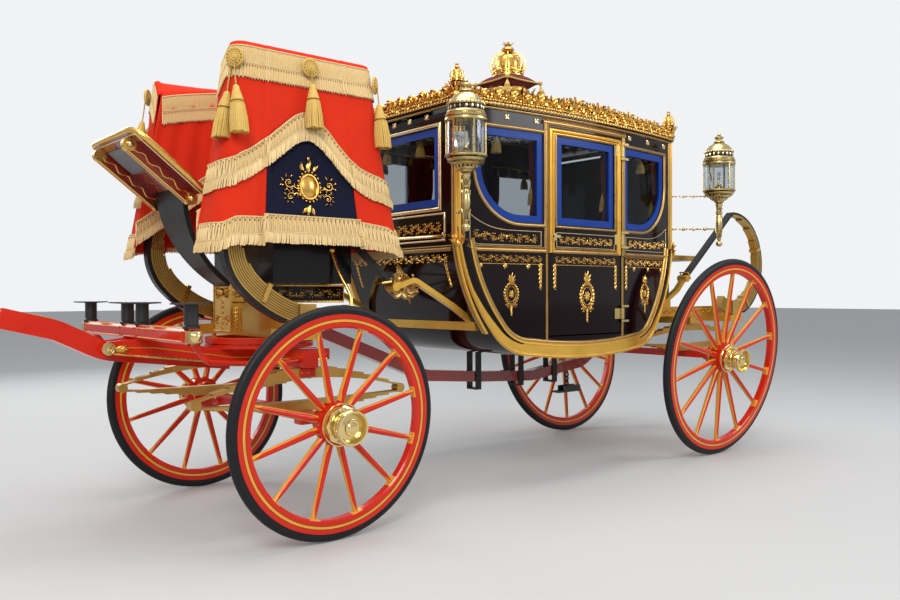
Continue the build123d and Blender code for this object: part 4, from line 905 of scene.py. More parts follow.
def cloth_ribbon(start, end, height, out=0.0, count=90):
    """A hanging line from one station to another; height gives Z at each station."""
    points, normals, downs = [], [], []
    for i in range(count + 1):
        s = start + (end - start) * i / count
        z = height(s) if callable(height) else height
        stand = out(s) if callable(out) else out
        points.append(cloth_point(s, z, stand))
        normals.append(cloth_normal(s))
        downs.append((cloth_point(s, z - 0.1, stand) - cloth_point(s, z, stand)).normalized())
    return Ribbon(points, normals, downs)


stations = []
for seg, count in enumerate((6, 7, 60, 7, 30, 7, 60, 7, 6)):
    stations += [seg + i / count for i in range(count)]
stations.append(9 - 1e-6)
levels = [CLOTH_TOP - (CLOTH_TOP - CLOTH_LOW) * i / 26 for i in range(27)]


def cloth_top(s):
    """The cloth's upper edge: level round the seat, sloping down across the front strips to the recess."""
    f = s if s < 1 else 9 - s if s > 8 else 1.0
    return CLOTH_TOP - 0.090 * (1 - f) ** 1.3


def hem_z(x):
    """The slanting hem of the cheeks inside the recess."""
    return HEM_TIP[1] + (HEM_TIP[0] - x) * HEM_SLOPE


def cheek_top(x):
    """Upper edge of the cheek: low in front, rising to the seat."""
    t = (ahead(0.398) - x) / (ahead(0.398) - RECESS_BACK)
    return 2.356 + 0.082 * clamp(t) ** 0.8


cloth = Mesh()
wall = []
for k in range(27):
    row = []
    for s in stations:
        f = s if s < 1 else 9 - s if s > 8 else 1.0
        middle = s - 2 if s < 4.5 else 7 - s
        low = CLOTH_LOW + 0.020 * (1 - f) + (0.055 if 0.17 < middle < 0.80 else 0.016)
        row.append(cloth_point(s, cloth_top(s) - (cloth_top(s) - low) * k / 26))
    wall.append(row)
edge = [[cloth_point(s, cloth_top(s) + 0.004, -0.008) for s in stations]]
lid_in = [[cloth_point(s, min(cloth_top(s) + 0.0045, SEAT_TOP), -LID_INSET) for s in stations]]
cloth.merge(grid(lid_in + edge + wall))
front, rear, half, r = cloth_sizes(2.45)
for sign in (1, -1):
    # The cheek: the wing's inner face, with a few soft upright folds, cut off by the slanting hem
    rows = []
    for k in range(17):
        t = k / 16
        row = []
        for i in range(25):
            x_top = ahead(0.396) + (RECESS_BACK - ahead(0.396)) * i / 24
            x_low = ahead(0.556) + (RECESS_BACK - ahead(0.556)) * i / 24
            x = x_top + (x_low - x_top) * t
            z = cheek_top(x_top) + (hem_z(x_low) - cheek_top(x_top)) * t
            fold = 0.006 * math.sin(i * 0.9) * math.sin(math.pi * min(1.0, t * 1.1)) ** 0.6 * (1 if 1 < i < 24 else 0)
            row.append(Vector((x, sign * (RECESS + fold), z)))
        rows.append(row)
    cloth.merge(grid(rows))
    # The wing's soft upper edge between its outer wall and the cheek
    rows = []
    for j in range(5):
        t = j / 4
        row = []
        for i in range(25):
            x = ahead(0.396) + (RECESS_BACK - ahead(0.396)) * i / 24
            outer_y = half - LID_INSET
            if x > front - r:
                outer_y = half - r + math.sqrt(max((r - LID_INSET) ** 2 - (x - (front - r)) ** 2, 0))
            z_out = SEAT_TOP if x < front - LID_INSET else 2.43
            z = z_out + (cheek_top(x) - z_out) * t**1.4 + 0.006 * math.sin(math.pi * t)
            row.append(Vector((x, sign * (outer_y + (RECESS - outer_y) * t), z)))
        rows.append(row)
    cloth.merge(grid(rows))
rows = []
for k in range(9):
    z = SEAT_TOP - (SEAT_TOP - CHEEK_LOW) * k / 8
    rows.append([Vector((RECESS_BACK + (0.006 if k else -0.006), RECESS - 2 * RECESS * j / 12, z)) for j in range(13)])
cloth.merge(grid(rows))
lid = []
for k in range(13):
    t = k / 12
    x = RECESS_BACK + (rear + LID_INSET - RECESS_BACK) * t
    edge_y = half - LID_INSET
    if x < rear + r:
        edge_y = half - r + math.sqrt(max((r - LID_INSET) ** 2 - (rear + r - x) ** 2, 0))
    across = [1 - j / 6 for j in range(13)]
    lid.append([Vector((x, edge_y * w, SEAT_TOP + 0.010 * math.sin(math.pi * t) * (1 - abs(w)))) for w in across])
cloth.merge(grid(lid))
hammercloth = cloth.build("hammercloth_cloth", [red_cloth], "root", "red_cloth", ["hammercloth"], angle=70, weld=True)
thicken(hammercloth, 0.005)

SWAG = (
    (0.0, 1.850), (1.0, 1.858), (1.6, 1.874), (2.0, 1.906), (2.134, 1.972), (2.250, 2.046), (2.340, 2.104),
    (2.410, 2.134), (2.465, 2.139), (2.533, 2.116), (2.610, 2.062), (2.690, 1.990), (2.777, 1.925), (2.900, 1.872),
    (3.050, 1.846), (3.600, 1.831), (4.5, 1.831),
)


def swag_line(s):
    """Height of the deep fringe's upper edge: low on the wings, risen to a rounded peak on the side."""
    j = 1
    while j < len(SWAG) - 1 and SWAG[j][0] < s:
        j += 1
    (s0, z0), (s1, z1) = SWAG[j - 1], SWAG[j]

    def slope(k):
        a, b = SWAG[max(k - 1, 0)], SWAG[min(k + 1, len(SWAG) - 1)]
        return (b[1] - a[1]) / (b[0] - a[0])

    h = s1 - s0
    t = clamp((s - s0) / h)
    m0, m1 = slope(j - 1) * h, slope(j) * h
    start, end = (2 * t**3 - 3 * t**2 + 1) * z0, (3 * t**2 - 2 * t**3) * z1
    return start + (t**3 - 2 * t**2 + t) * m0 + end + (t**3 - t**2) * m1


panel = Mesh()
PANEL_START, PANEL_SPAN = 0.172, 0.618
for seg, mirror in ((2, 1), (6, -1)):
    count = 168
    rows = []
    for k in range(12):
        row = []
        for i in range(count + 1):
            f = PANEL_START + PANEL_SPAN * i / count
            s = seg + (f if mirror == 1 else 1 - f)
            high = swag_line(2 + f) - 0.030
            z = high + (1.500 - high) * k / 11
            row.append(cloth_point(s, z, 0.006 + 0.0026 * math.sin(2 * math.pi * i / 4.0)))
        rows.append(row)
    panel.merge(grid(rows))
navy_panel = panel.build("hammercloth_navy_panels", [navy_cloth], "root", "red_cloth", angle=80)
thicken(navy_panel, 0.003)

fringe = Mesh()
looped_fringe(fringe, cloth_ribbon(0.02, 8.98, lambda s: cloth_top(s) - 0.014, count=400), 0.086, 0.080)
for sign in (1, -1):
    inward = Vector((0, -sign, 0))
    down = Vector((0, 0, -1))
    xs = [ahead(0.392) + (RECESS_BACK - 0.004 - ahead(0.392)) * i / 24 for i in range(25)]
    line = [Vector((x, sign * RECESS, cheek_top(x) - 0.010)) for x in xs]
    looped_fringe(fringe, Ribbon(line, [inward] * 25, [down] * 25), 0.086, 0.080)
    xs = [ahead(0.545) + (RECESS_BACK + 0.004 - ahead(0.545)) * i / 24 for i in range(25)]
    line = [Vector((x, sign * (RECESS + 0.004), hem_z(x) + 0.135)) for x in xs]
    bullion_fringe(fringe, Ribbon(line, [inward] * 25, [down] * 25), 0.085, 0.050, out=0.006)
for mirror in (1, -1):

    def st(s):
        """The same station on the cloth's other side when mirrored."""
        return s if mirror == 1 else 9 - s

    def over_panel(s):
        f = st(s) - 2
        return 0.004 + 0.012 * clamp((f - 0.150) / 0.02) * clamp((0.812 - f) / 0.02)

    ribbon = cloth_ribbon(st(0.02), st(4.5), lambda s: swag_line(st(s)), over_panel, count=260)
    bullion_fringe(fringe, ribbon, 0.088, 0.060)

    def low_line(s):
        """The wings' lower fringe dips towards the corners."""
        s = st(s)
        t = clamp((s - 1.5) / 0.65) if s < 2.5 else clamp((3.2 - s) / 0.42)
        return 1.560 + 0.038 * t * t * (3 - 2 * t)

    # The low fringe: round the front, over the back, and across the navy panel
    for low, high, z, out in (
        (0.02, 2.172, low_line, 0.002), (2.785, 4.5, low_line, 0.002), (2.162, 2.798, 1.612, 0.010)
    ):
        bullion_fringe(fringe, cloth_ribbon(st(low), st(high), z, out, count=120), 0.090, 0.055)
fringes = fringe.build("hammercloth_fringes", [bullion, bullion_shade], "root", "red_cloth", angle=60)

tassels = Mesh()
for mirror in (1, -1):
    for s, z, spots in (
        (1.45, 2.362, ((-0.046, 0.140, 0.240), (0.044, 0.165, 0.236))),
        (2.490, 2.372, ((0.0, 0.085, 0.235),)),
        (3.45, 2.350, ((0.0, 0.10, 0.245),)),
    ):
        station = s if mirror == 1 else 9 - s
        out = cloth_normal(station)
        side = out.cross(Vector((0, 0, 1)))
        for index, (shift, cord, length) in enumerate(spots):
            top = cloth_point(station, z, 0.022) + side * (shift * 0.2)
            tassel(
                tassels, top, length, 0.074, tuple(out), cord=cord, rosette=0.042 if index == 0 else 0.0,
                lean=tuple(side * (shift / (cord + length)) + out * 0.10),
            )
tassel_pieces = tassels.build("hammercloth_tassels", [silk_gold], "root", "red_cloth", angle=60)


def oval(a, b, angle):
    """A place on an oval round the middle of the navy panel."""
    return a * math.cos(angle), 1.762 + b * math.sin(angle)


badge = Mesh()
for mirror in (1, -1):

    def cloth_face(u, v, out, mirror=mirror):
        f = 0.455 - u / 0.813
        s = 2 + f if mirror == 1 else 7 - f
        return cloth_point(s, v, 0.012 + out)

    face = Face(cloth_face)
    ridge(badge, face, [oval(0.050, 0.062, a) for a in around(32) + [2 * math.pi]], 0.009, 0.010)
    rows = []
    for k in range(7):
        t = k / 6
        rows.append([cloth_face(*oval(0.044 * t, 0.056 * t, a), 0.014 * (1 - t * t) + 0.002) for a in around(24)])
    badge.merge(grid(rows, closed=True))
    for a in around(20):
        badge.merge(ball(cloth_face(*oval(0.064, 0.077, a), 0.003), 0.0058, 4, 6))
    for side in (1, -1):
        acanthus_scroll(badge, face, (side * 0.108, 1.775), 0.062, flip=side, up=1, height=0.008)
        acanthus_scroll(badge, face, (side * 0.100, 1.705), 0.048, flip=side, up=-1, height=0.008)
        leaf_shape(badge, face, (side * 0.03, 1.842), 90 - side * 28, 0.045, 0.011, 0.009)
        leaf_shape(badge, face, (side * 0.012, 1.655), 270 + side * 30, 0.040, 0.010, 0.008)
    leaf_shape(badge, face, (0.0, 1.840), 90, 0.060, 0.014, 0.010)
    leaf_shape(badge, face, (0.0, 1.668), 270, 0.055, 0.012, 0.009)
    badge.merge(ball(cloth_face(0, 1.905, 0.004), 0.009, 5, 8))
badge_piece = badge.build("hammercloth_ornament", [gold], "root", "gilding", angle=50)
for piece in (navy_panel, fringes, tassel_pieces, badge_piece):
    piece.parent = hammercloth


# Mouldings and faces of the body
def dense(line, step=0.05, closed=False):
    """The same line with its long runs divided, corners kept."""
    out = []
    for (u0, v0), (u1, v1) in zip(line, line[1:] + (line[:1] if closed else [])):
        count = max(1, math.ceil(math.hypot(u1 - u0, v1 - v0) / step))
        out += [(u0 + (u1 - u0) * i / count, v0 + (v1 - v0) * i / count) for i in range(count)]
    if not closed:
        out.append(line[-1])
    return out


def moulding(mesh, face, line, profile, mat=0, closed=False):
    """A strip along a line of (u, v) with mitred corners; its profile lists (across to the left, out)."""
    n = len(line)
    rows = []
    for i, (u, v) in enumerate(line):
        ways = []
        before = line[i - 1] if i or closed else None
        after = line[(i + 1) % n] if i < n - 1 or closed else None
        for a, b in ((before, (u, v)), ((u, v), after)):
            if a and b:
                du, dv = b[0] - a[0], b[1] - a[1]
                size = math.hypot(du, dv) or 1e-9
                ways.append((-dv / size, du / size))
        px = sum(w[0] for w in ways) / len(ways)
        py = sum(w[1] for w in ways) / len(ways)
        mitre = min(1 / max(px * px + py * py, 1e-6), 2.5)
        rows.append([face.place(u + px * mitre * a, v + py * mitre * a, o) for a, o in profile])
    if closed:
        rows.append(rows[0])
    out = grid(rows, mat, closed=True)
    mesh.merge(out if closed else out.close_ends(len(profile), mat))


def half_round(width, height, shift=0.0, count=6):
    angles = [math.pi * i / count for i in range(count + 1)]
    return [(shift + width / 2 * math.cos(a), height * math.sin(a)) for a in angles]


def closed_below(profile, depth=0.004):
    return profile + [(profile[-1][0], -depth), (profile[0][0], -depth)]


def bead(width, height, count=6):
    return closed_below(half_round(width, height, 0, count))


def double_bead(wide, narrow, height):
    """A wide bead with a narrow one beside it and a quirk between."""
    beside = half_round(narrow, height * 0.6, (wide + narrow) / 2 + 0.002, 4)
    return closed_below(beside + half_round(wide, height))


def arc3(a, b, c, count=14):
    """Points of the arc through three points of (u, v)."""
    ax, ay, bx, by, cx, cy = *a, *b, *c
    d = 2 * (ax * (by - cy) + bx * (cy - ay) + cx * (ay - by))
    ux = ((ax**2 + ay**2) * (by - cy) + (bx**2 + by**2) * (cy - ay) + (cx**2 + cy**2) * (ay - by)) / d
    uy = ((ax**2 + ay**2) * (cx - bx) + (bx**2 + by**2) * (ax - cx) + (cx**2 + cy**2) * (bx - ax)) / d
    radius = math.hypot(ax - ux, ay - uy)
    start, middle, end = (math.atan2(p[1] - uy, p[0] - ux) for p in (a, b, c))
    while middle - start > math.pi:
        middle -= 2 * math.pi
    while middle - start < -math.pi:
        middle += 2 * math.pi
    while end - middle > math.pi:
        end -= 2 * math.pi
    while end - middle < -math.pi:
        end += 2 * math.pi
    angles = [start + (end - start) * i / count for i in range(count + 1)]
    return [(ux + radius * math.cos(a), uy + radius * math.sin(a)) for a in angles]


HALF = BODY_LENGTH / 2
CENTRE_Y = MID_HALF - BOW


def side_face(sign):
    """The body's bowed side: u is X, v is Z."""

    def place(u, v, out):
        dx = (u - BODY_MID) / BOW
        y = CENTRE_Y + math.sqrt(max(BOW**2 - (u - BODY_MID) ** 2, 0))
        ny = (y - CENTRE_Y) / BOW
        return Vector((u + dx * out, sign * (y + ny * out), v))

    return Face(place)


def under_curve(inset=0.0):
    """The lower outline of the body in the side view from the front belt to the rear belt."""
    front = arc3((HALF, BELT), (HALF - 0.082, 1.240), (HALF - 0.235, 0.985), 14)
    front += arc3((HALF - 0.235, 0.985), (HALF - 0.345, 0.882), (HALF - 0.520, 0.832), 10)[1:]
    middle = arc3((HALF - 0.520, 0.832), (0, 0.800), (-HALF + 0.520, 0.832), 22)[1:]
    rear = [(-u, v) for u, v in front[::-1]][1:]
    line = front + middle + rear
    out = []
    for i, (u, v) in enumerate(line):
        a, b = line[max(i - 1, 0)], line[min(i + 1, len(line) - 1)]
        du, dv = b[0] - a[0], b[1] - a[1]
        size = math.hypot(du, dv)
        out.append((BODY_MID + u + dv / size * inset, v - du / size * inset))
    return out


def end_x(z, inset=0.0):
    """How far the body's end stands from its middle at this height."""
    if z >= BELT:
        return HALF
    points = arc3((HALF, BELT), (HALF - 0.082, 1.240), (HALF - 0.235, 0.985), 24)
    points += arc3((HALF - 0.235, 0.985), (HALF - 0.345, 0.882), (HALF - 0.520, 0.832), 12)[1:]
    for (u0, v0), (u1, v1) in zip(points, points[1:]):
        if v1 <= z <= v0:
            return u0 + (u1 - u0) * (v0 - z) / max(v0 - v1, 1e-9)
    return points[-1][0]


def end_face(way):
    """The body's front (way 1) or rear: u is Y, v is Z."""

    def place(u, v, out):
        slope = (end_x(v + 0.01) - end_x(v - 0.01)) / 0.02 if v < BELT - 0.005 else 0.0
        size = math.hypot(1, slope)
        return Vector((BODY_MID + way * (end_x(v) + out / size), u, v - slope * out / size))

    return Face(place)


def box_line(u0, v0, u1, v1):
    """Corners of an upright rectangle, anticlockwise as seen with u to the right."""
    return [(u0, v0), (u1, v0), (u1, v1), (u0, v1)]


def rosette_stud(mesh, face, u, v, size, mat=0):
    """A small gilt leaf stud."""
    for angle in (37, 127, 217, 307):
        leaf_shape(mesh, face, (u, v), angle, size * 0.62, size * 0.22, size * 0.26, mat)
    mesh.merge(ball(face.place(u, v, size * 0.10), size * 0.20, 5, 8, mat))


def scroll_run(mesh, face, u0, u1, v, size, height=0.0045, mat=0, follow=None):
    """Running scrolls from the middle outwards, turned up and down by turns."""
    count = max(2, 2 * round(abs(u1 - u0) / (size * 1.55) / 2))
    pitch = (u1 - u0) / count
    for i in range(count):
        u = u0 + (i + 0.5) * pitch
        flip = 1 if i < count / 2 else -1
        flip *= 1 if pitch > 0 else -1
        up = 1 if i % 2 == (0 if i < count / 2 else 1) else -1
        acanthus_scroll(mesh, face, (u, v + (follow(u) if follow else 0.0)), size, -flip, up, height, mat)
    leaf_shape(mesh, face, ((u0 + u1) / 2, v - size * 0.3), 80, size * 0.7, size * 0.14, height, mat)


def pendant(mesh, face, u, v, length, width, mat=0, lean=0.0):
    """A drop of husks that grow smaller downwards."""
    steps = 6
    for i in range(steps):
        t = i / steps
        at = (u + lean * t * length, v - length * t)
        size = width * (1 - 0.65 * t)
        reach = length / steps * 1.25
        leaf_shape(mesh, face, at, 270, reach, size * 0.24, 0.0045, mat)
        for angle in (236, 290):
            leaf_shape(mesh, face, at, angle, reach * 0.8, size * 0.17, 0.004, mat)
        if i < steps - 1:
            mesh.merge(ball(face.place(at[0], at[1] - reach * 0.78, 0.003), size * 0.09, 4, 6, mat))
    mesh.merge(ball(face.place(u + lean * length, v - length * 1.04, 0.003), width * 0.07, 4, 6, mat))


def wreath_badge(mesh, face, u, v, width, height, mat=0):
    """A generic badge: an oval wreath round a rosette, a fan of leaves above and a drop below."""
    a, b = width / 2, height * 0.24
    for t in around(22):
        at = (u + a * math.cos(t), v + b * math.sin(t))
        way = math.degrees(math.atan2(b * math.cos(t), -a * math.sin(t)))
        leaf_shape(mesh, face, at, way + 22, width * 0.20, width * 0.045, 0.005, mat)
        leaf_shape(mesh, face, at, way - 28, width * 0.15, width * 0.035, 0.004, mat)
    inner = [(u + a * 0.66 * math.cos(t), v + b * 0.72 * math.sin(t)) for t in around(26) + [2 * math.pi]]
    ridge(mesh, face, inner, width * 0.022, 0.004, mat)
    for i in range(8):
        leaf_shape(mesh, face, (u, v), 45 * i, width * 0.24, width * 0.06, 0.005, mat)
    mesh.merge(ball(face.place(u, v, 0.003), width * 0.06, 5, 8, mat))
    top = v + b + height * 0.03
    for angle, reach in ((90, 0.22), (62, 0.18), (118, 0.18), (35, 0.13), (145, 0.13)):
        leaf_shape(mesh, face, (u, top), angle - 6, height * reach, width * 0.07, 0.006, mat)
    ridge(mesh, face, [(u - width * 0.22, top), (u, top - 0.004), (u + width * 0.22, top)], width * 0.035, 0.005, mat)
    low = v - b - height * 0.02
    pendant(mesh, face, u, low, height * 0.22, width * 0.42, mat)
    for side in (1, -1):
        acanthus_scroll(mesh, face, (u + side * width * 0.30, low), width * 0.17, -side, -1, 0.004, mat)


# Gilt mouldings of the body's sides
BELT_LINE = 1.482
BORDER_LOW, BORDER_MID, BORDER_HIGH = 1.512, 1.556, 1.602
BAND_LOW, BAND_MID = 1.398, 1.430
PENDANT_Z = 1.405
FRIEZE_Z, FRIEZE_EDGE = 2.284, 2.326
GOLDS = [gold_band, bronze_gold, gold, pale_gold, lacquer]
BRIGHT, BRONZE, CARVED, PALE = range(4)
window_bead = bead(0.022, 0.012)
line_bead = closed_below(half_round(0.006, 0.0022, 0, 3), 0.001)


def quarter_outline(way, grow):
    """The quarter window's outline grown outwards, anticlockwise seen from the left for the front one."""
    outer = HALF - 0.122 + grow
    inner = DOOR_HALF + 0.038 - grow
    low, high, bend = WINDOW_LOW - grow, WINDOW_HIGH + grow, 0.330 + grow
    corner = arc((outer - bend, low + bend), bend, 270, 360, 12)
    line = [(inner, high), (inner, low)] + corner + [(outer, high)]
    return [(BODY_MID + way * u, v) for u, v in line]


def belt_rise(u):
    """The belt moulding turns up as it comes to the body's corner posts."""
    d = abs(u - BODY_MID)
    t = max(0.0, (d - (HALF - 0.145)) / 0.145)
    return 0.050 * t**2.2


mouldings = Mesh()
carving = Mesh()
for sign in (1, -1):
    face = side_face(sign)
    # The corner posts' double bead runs down and round along the rocker band
    for inset, profile, mat in ((0.010, bead(0.030, 0.013, 7), BRIGHT), (0.040, bead(0.020, 0.012), BRONZE)):
        for way in (1, -1):
            post = BODY_MID + way * (HALF - inset)
            moulding(mouldings, face, dense([(post, EAVES - 0.004), (post, BELT + 0.01)]), profile, mat)
    moulding(mouldings, face, under_curve(0.100), bead(0.026, 0.018, 7), BRONZE)
    moulding(mouldings, face, under_curve(0.078), bead(0.010, 0.017, 5), BRIGHT)
    moulding(mouldings, face, under_curve(0.012), bead(0.020, 0.020), BRIGHT)
    for way in (1, -1):
        outline = dense(quarter_outline(way, 0.013), 0.06, closed=True)
        profile = window_bead if way == 1 else [(-a, o) for a, o in window_bead]
        moulding(mouldings, face, outline, profile, BRONZE, closed=True)
        # Door post: the broad dull strip beside the door, above the belt, and a thin bead below it
        post = BODY_MID + way * (DOOR_HALF + 0.021)
        moulding(mouldings, face, dense([(post, 1.470), (post, 2.290)]), double_bead(0.026, 0.008, 0.012), BRONZE)
        thin = BODY_MID + way * (DOOR_HALF + 0.012)
        moulding(mouldings, face, dense([(thin, 0.928), (thin, 1.465)]), bead(0.018, 0.010), BRONZE)
        # Belt moulding, turned up at the corner post
        spots = [BODY_MID + way * (DOOR_HALF + 0.030 + (HALF - DOOR_HALF - 0.085) * i / 30) for i in range(31)]
        belt = [(u, BELT_LINE + belt_rise(u)) for u in spots]
        moulding(mouldings, face, belt, double_bead(0.026, 0.010, 0.015), BRONZE)
        # Frieze panel under the quarter window: a pale line border that follows the window's round corner
        inner = BODY_MID + way * (DOOR_HALF + 0.058)
        outer = BODY_MID + way * (HALF - 0.085)
        border = [(inner, BORDER_HIGH)]
        for i in range(9):
            t = i / 8
            border.append((BODY_MID + way * (HALF - 0.085 - 0.30 * (1 - t)), BORDER_HIGH + 0.085 * t**2.4))
        border.append((outer, 1.532 + belt_rise(outer)))
        for u in (BODY_MID + way * (HALF - 0.085 - 0.05), BODY_MID + way * (HALF - 0.085 - 0.10)):
            border.append((u, BORDER_LOW + belt_rise(u)))
        border.append((inner, BORDER_LOW))
        moulding(mouldings, face, dense(border, 0.05, closed=True), line_bead, PALE, closed=True)
        scroll_run(
            carving, face, inner + way * 0.03, outer - way * 0.02, BORDER_MID, 0.036, 0.005, CARVED,
            follow=lambda u: 0.026 * max(0.0, (abs(u - BODY_MID) - (HALF - 0.30)) / 0.20) ** 2,
        )
        # Scroll band under the belt with a pendant at each end
        near, far = BODY_MID + way * (DOOR_HALF + 0.050), BODY_MID + way * (HALF - 0.070)
        scroll_run(carving, face, near, far, BAND_MID, 0.030, 0.005, CARVED, follow=lambda u: belt_rise(u) * 0.9)
        spots = [BODY_MID + way * (DOOR_HALF + 0.040 + (HALF - DOOR_HALF - 0.10) * i / 20) for i in range(21)]
        moulding(carving, face, [(u, BAND_LOW + belt_rise(u)) for u in spots], bead(0.005, 0.003, 4), CARVED)
        pendant(carving, face, BODY_MID + way * (DOOR_HALF + 0.062), PENDANT_Z, 0.155, 0.052, CARVED)
        pendant(carving, face, BODY_MID + way * (HALF - 0.118), BAND_MID, 0.175, 0.052, CARVED, lean=way * -0.16)
        for d in (0.16, 0.34, 0.52):
            festoon = BODY_MID + way * (DOOR_HALF + d)
            leaf_shape(carving, face, (festoon, 1.400), 270, 0.034, 0.008, 0.005, CARVED)
            for angle in (235, 295):
                leaf_shape(carving, face, (festoon, 1.400), angle, 0.026, 0.006, 0.004, CARVED)
        wreath_badge(carving, face, BODY_MID + way * 0.655, 1.215, 0.105, 0.27, CARVED)
        for d in (0.10, 0.33, 0.56):
            rosette_stud(carving, face, BODY_MID + way * (DOOR_HALF + d), FRIEZE_Z, 0.036, PALE)
    # Bar over the door and the edge of the frieze
    over_door = [(DOOR_REAR - 0.045, 2.288), (DOOR_FRONT + 0.045, 2.288)]
    moulding(mouldings, face, dense(over_door), double_bead(0.030, 0.008, 0.014), BRONZE)
    frieze_edge = [(BODY_REAR + 0.01, FRIEZE_EDGE), (BODY_FRONT - 0.01, FRIEZE_EDGE)]
    moulding(mouldings, face, dense(frieze_edge), bead(0.018, 0.014), BRONZE)
mouldings.build("body_mouldings", GOLDS, "root", "gilding", angle=50)
carving.build("body_carving", GOLDS, "root", "gilding", angle=50)

# The doors' own gilding rides on the doors
for side, sign in (("left", 1), ("right", -1)):
    face = side_face(sign)
    trim = Mesh()
    front_u, rear_u, top_v = DOOR_FRONT - 0.030, DOOR_REAR + 0.030, 2.238
    beads = half_round(0.014, 0.013, 0.013, 5) + [(0.004, 0.007)] + half_round(0.022, 0.014, -0.008, 6)
    bar_profile = closed_below([(0.022, 0.004)] + beads + [(-0.021, 0.004)])
    line = dense([(front_u, 1.474), (front_u, top_v), (rear_u, top_v), (rear_u, 1.474)], 0.06)
    moulding(trim, face, line, bar_profile, BRIGHT)
    belt = dense([(rear_u + 0.010, BELT_LINE), (front_u - 0.010, BELT_LINE)])
    moulding(trim, face, belt, double_bead(0.026, 0.010, 0.015), BRONZE)
    frame_line = box_line(BODY_MID - 0.293, WINDOW_LOW - 0.013, BODY_MID + 0.293, WINDOW_HIGH + 0.010)
    moulding(trim, face, dense(frame_line, 0.06, closed=True), bead(0.016, 0.010), BRONZE, closed=True)
    border = dense(box_line(BODY_MID - 0.285, BORDER_LOW, BODY_MID + 0.285, BORDER_HIGH), 0.05, closed=True)
    moulding(trim, face, border, line_bead, PALE, closed=True)
    scroll_run(trim, face, BODY_MID - 0.262, BODY_MID + 0.262, BORDER_MID, 0.034, 0.005, CARVED)
    scroll_run(trim, face, BODY_MID - 0.300, BODY_MID + 0.300, BAND_MID, 0.030, 0.005, CARVED)
    for way in (1, -1):
        pendant(trim, face, BODY_MID + way * 0.300, PENDANT_Z, 0.155, 0.050, CARVED)
    band_edge = dense([(BODY_MID - 0.31, BAND_LOW), (BODY_MID + 0.31, BAND_LOW)])
    moulding(trim, face, band_edge, bead(0.005, 0.003, 4), CARVED)
    wreath_badge(trim, face, BODY_MID, 1.200, 0.135, 0.34, CARVED)
    trim.build(f"door_gilding_{side}", GOLDS, f"door_{side}", "gilding", angle=50)

# Front and rear of the body
ends = Mesh()
for way, window in ((1, True), (-1, False)):
    face = end_face(way)
    for sign in (1, -1):
        corner = [(sign * (END_HALF - 0.010), EAVES - 0.004), (sign * (END_HALF - 0.010), BELT)]
        corner += [(sign * (END_HALF - 0.010), BELT - 0.05 * i) for i in range(1, 12)]
        moulding(ends, face, dense(corner, 0.06), bead(0.028, 0.012), BRIGHT)
        inner = [(sign * (END_HALF - 0.040), v) for u, v in corner]
        moulding(ends, face, dense(inner, 0.06), bead(0.018, 0.010), BRONZE)
    low = 1.740 if window else 1.660
    width = 0.440
    outline = dense(box_line(-width - 0.016, low - 0.016, width + 0.016, WINDOW_HIGH + 0.016), 0.08, closed=True)
    moulding(ends, face, outline, bead(0.024, 0.012), PALE if window else BRONZE, closed=True)
    belt = dense([(-0.555, BELT_LINE), (0.555, BELT_LINE)], 0.08)
    moulding(ends, face, belt, double_bead(0.026, 0.010, 0.014), BRONZE)
    panel_low, panel_high = 1.535, low - 0.045
    outline = dense(box_line(-0.500, panel_low, 0.500, panel_high), 0.08, closed=True)
    moulding(ends, face, outline, bead(0.014, 0.011), PALE, closed=True)
    scroll_run(ends, face, -0.46, 0.46, (panel_low + panel_high) / 2, 0.045, 0.006, CARVED)
    scroll_run(ends, face, -0.50, 0.50, BAND_MID, 0.034, 0.005, CARVED)
    for y in (0.16, -0.16, 0.33, -0.33, 0.0):
        rosette_stud(ends, face, y, FRIEZE_Z + 0.004, 0.034, PALE)
    frieze_edge = dense([(-END_HALF + 0.01, FRIEZE_EDGE), (END_HALF - 0.01, FRIEZE_EDGE)], 0.08)
    moulding(ends, face, frieze_edge, bead(0.018, 0.014), BRONZE)
    wreath_badge(ends, face, 0.0, 1.285, 0.17, 0.26, CARVED)
    for sign in (1, -1):
        pendant(ends, face, sign * 0.47, PENDANT_Z, 0.14, 0.05, CARVED)
ends.build("body_end_gilding", GOLDS, "root", "gilding", angle=50)


# Carved leaves, crowns and padding
def carved_leaf(mesh, place, at, angle, length, width, curl=70.0, lift=0.012, thick=0.0045, mat=0, count=5):
    """A thick leaf with a grooved face whose tip turns over."""
    u, v = at
    way = math.radians(angle)
    turn = math.radians(curl) / count
    rows = []
    for i in range(count + 1):
        t = i / count
        w = width * (0.35 + 0.65 * math.sin(math.pi * min(t * 0.92 + 0.16, 1.0)) ** 0.7) * (1 - 0.55 * t**3)
        w = max(w * (1.0 if i < count else 0.35), 0.0008)
        pu, pv = -math.sin(way), math.cos(way)
        out = lift * t * t
        rows.append(
            [
                place(u + pu * w, v + pv * w, out),
                place(u + pu * w * 0.55, v + pv * w * 0.55, out + thick),
                place(u, v, out + thick * 0.35),
                place(u - pu * w * 0.55, v - pv * w * 0.55, out + thick),
                place(u - pu * w, v - pv * w, out),
                place(u, v, out - thick),
            ]
        )
        step = length / count
        u += math.cos(way) * step
        v += math.sin(way) * step
        way += turn * (0.4 + 1.2 * t)
    mesh.merge(grid(rows, mat, closed=True).close_ends(6, mat))
    return u, v


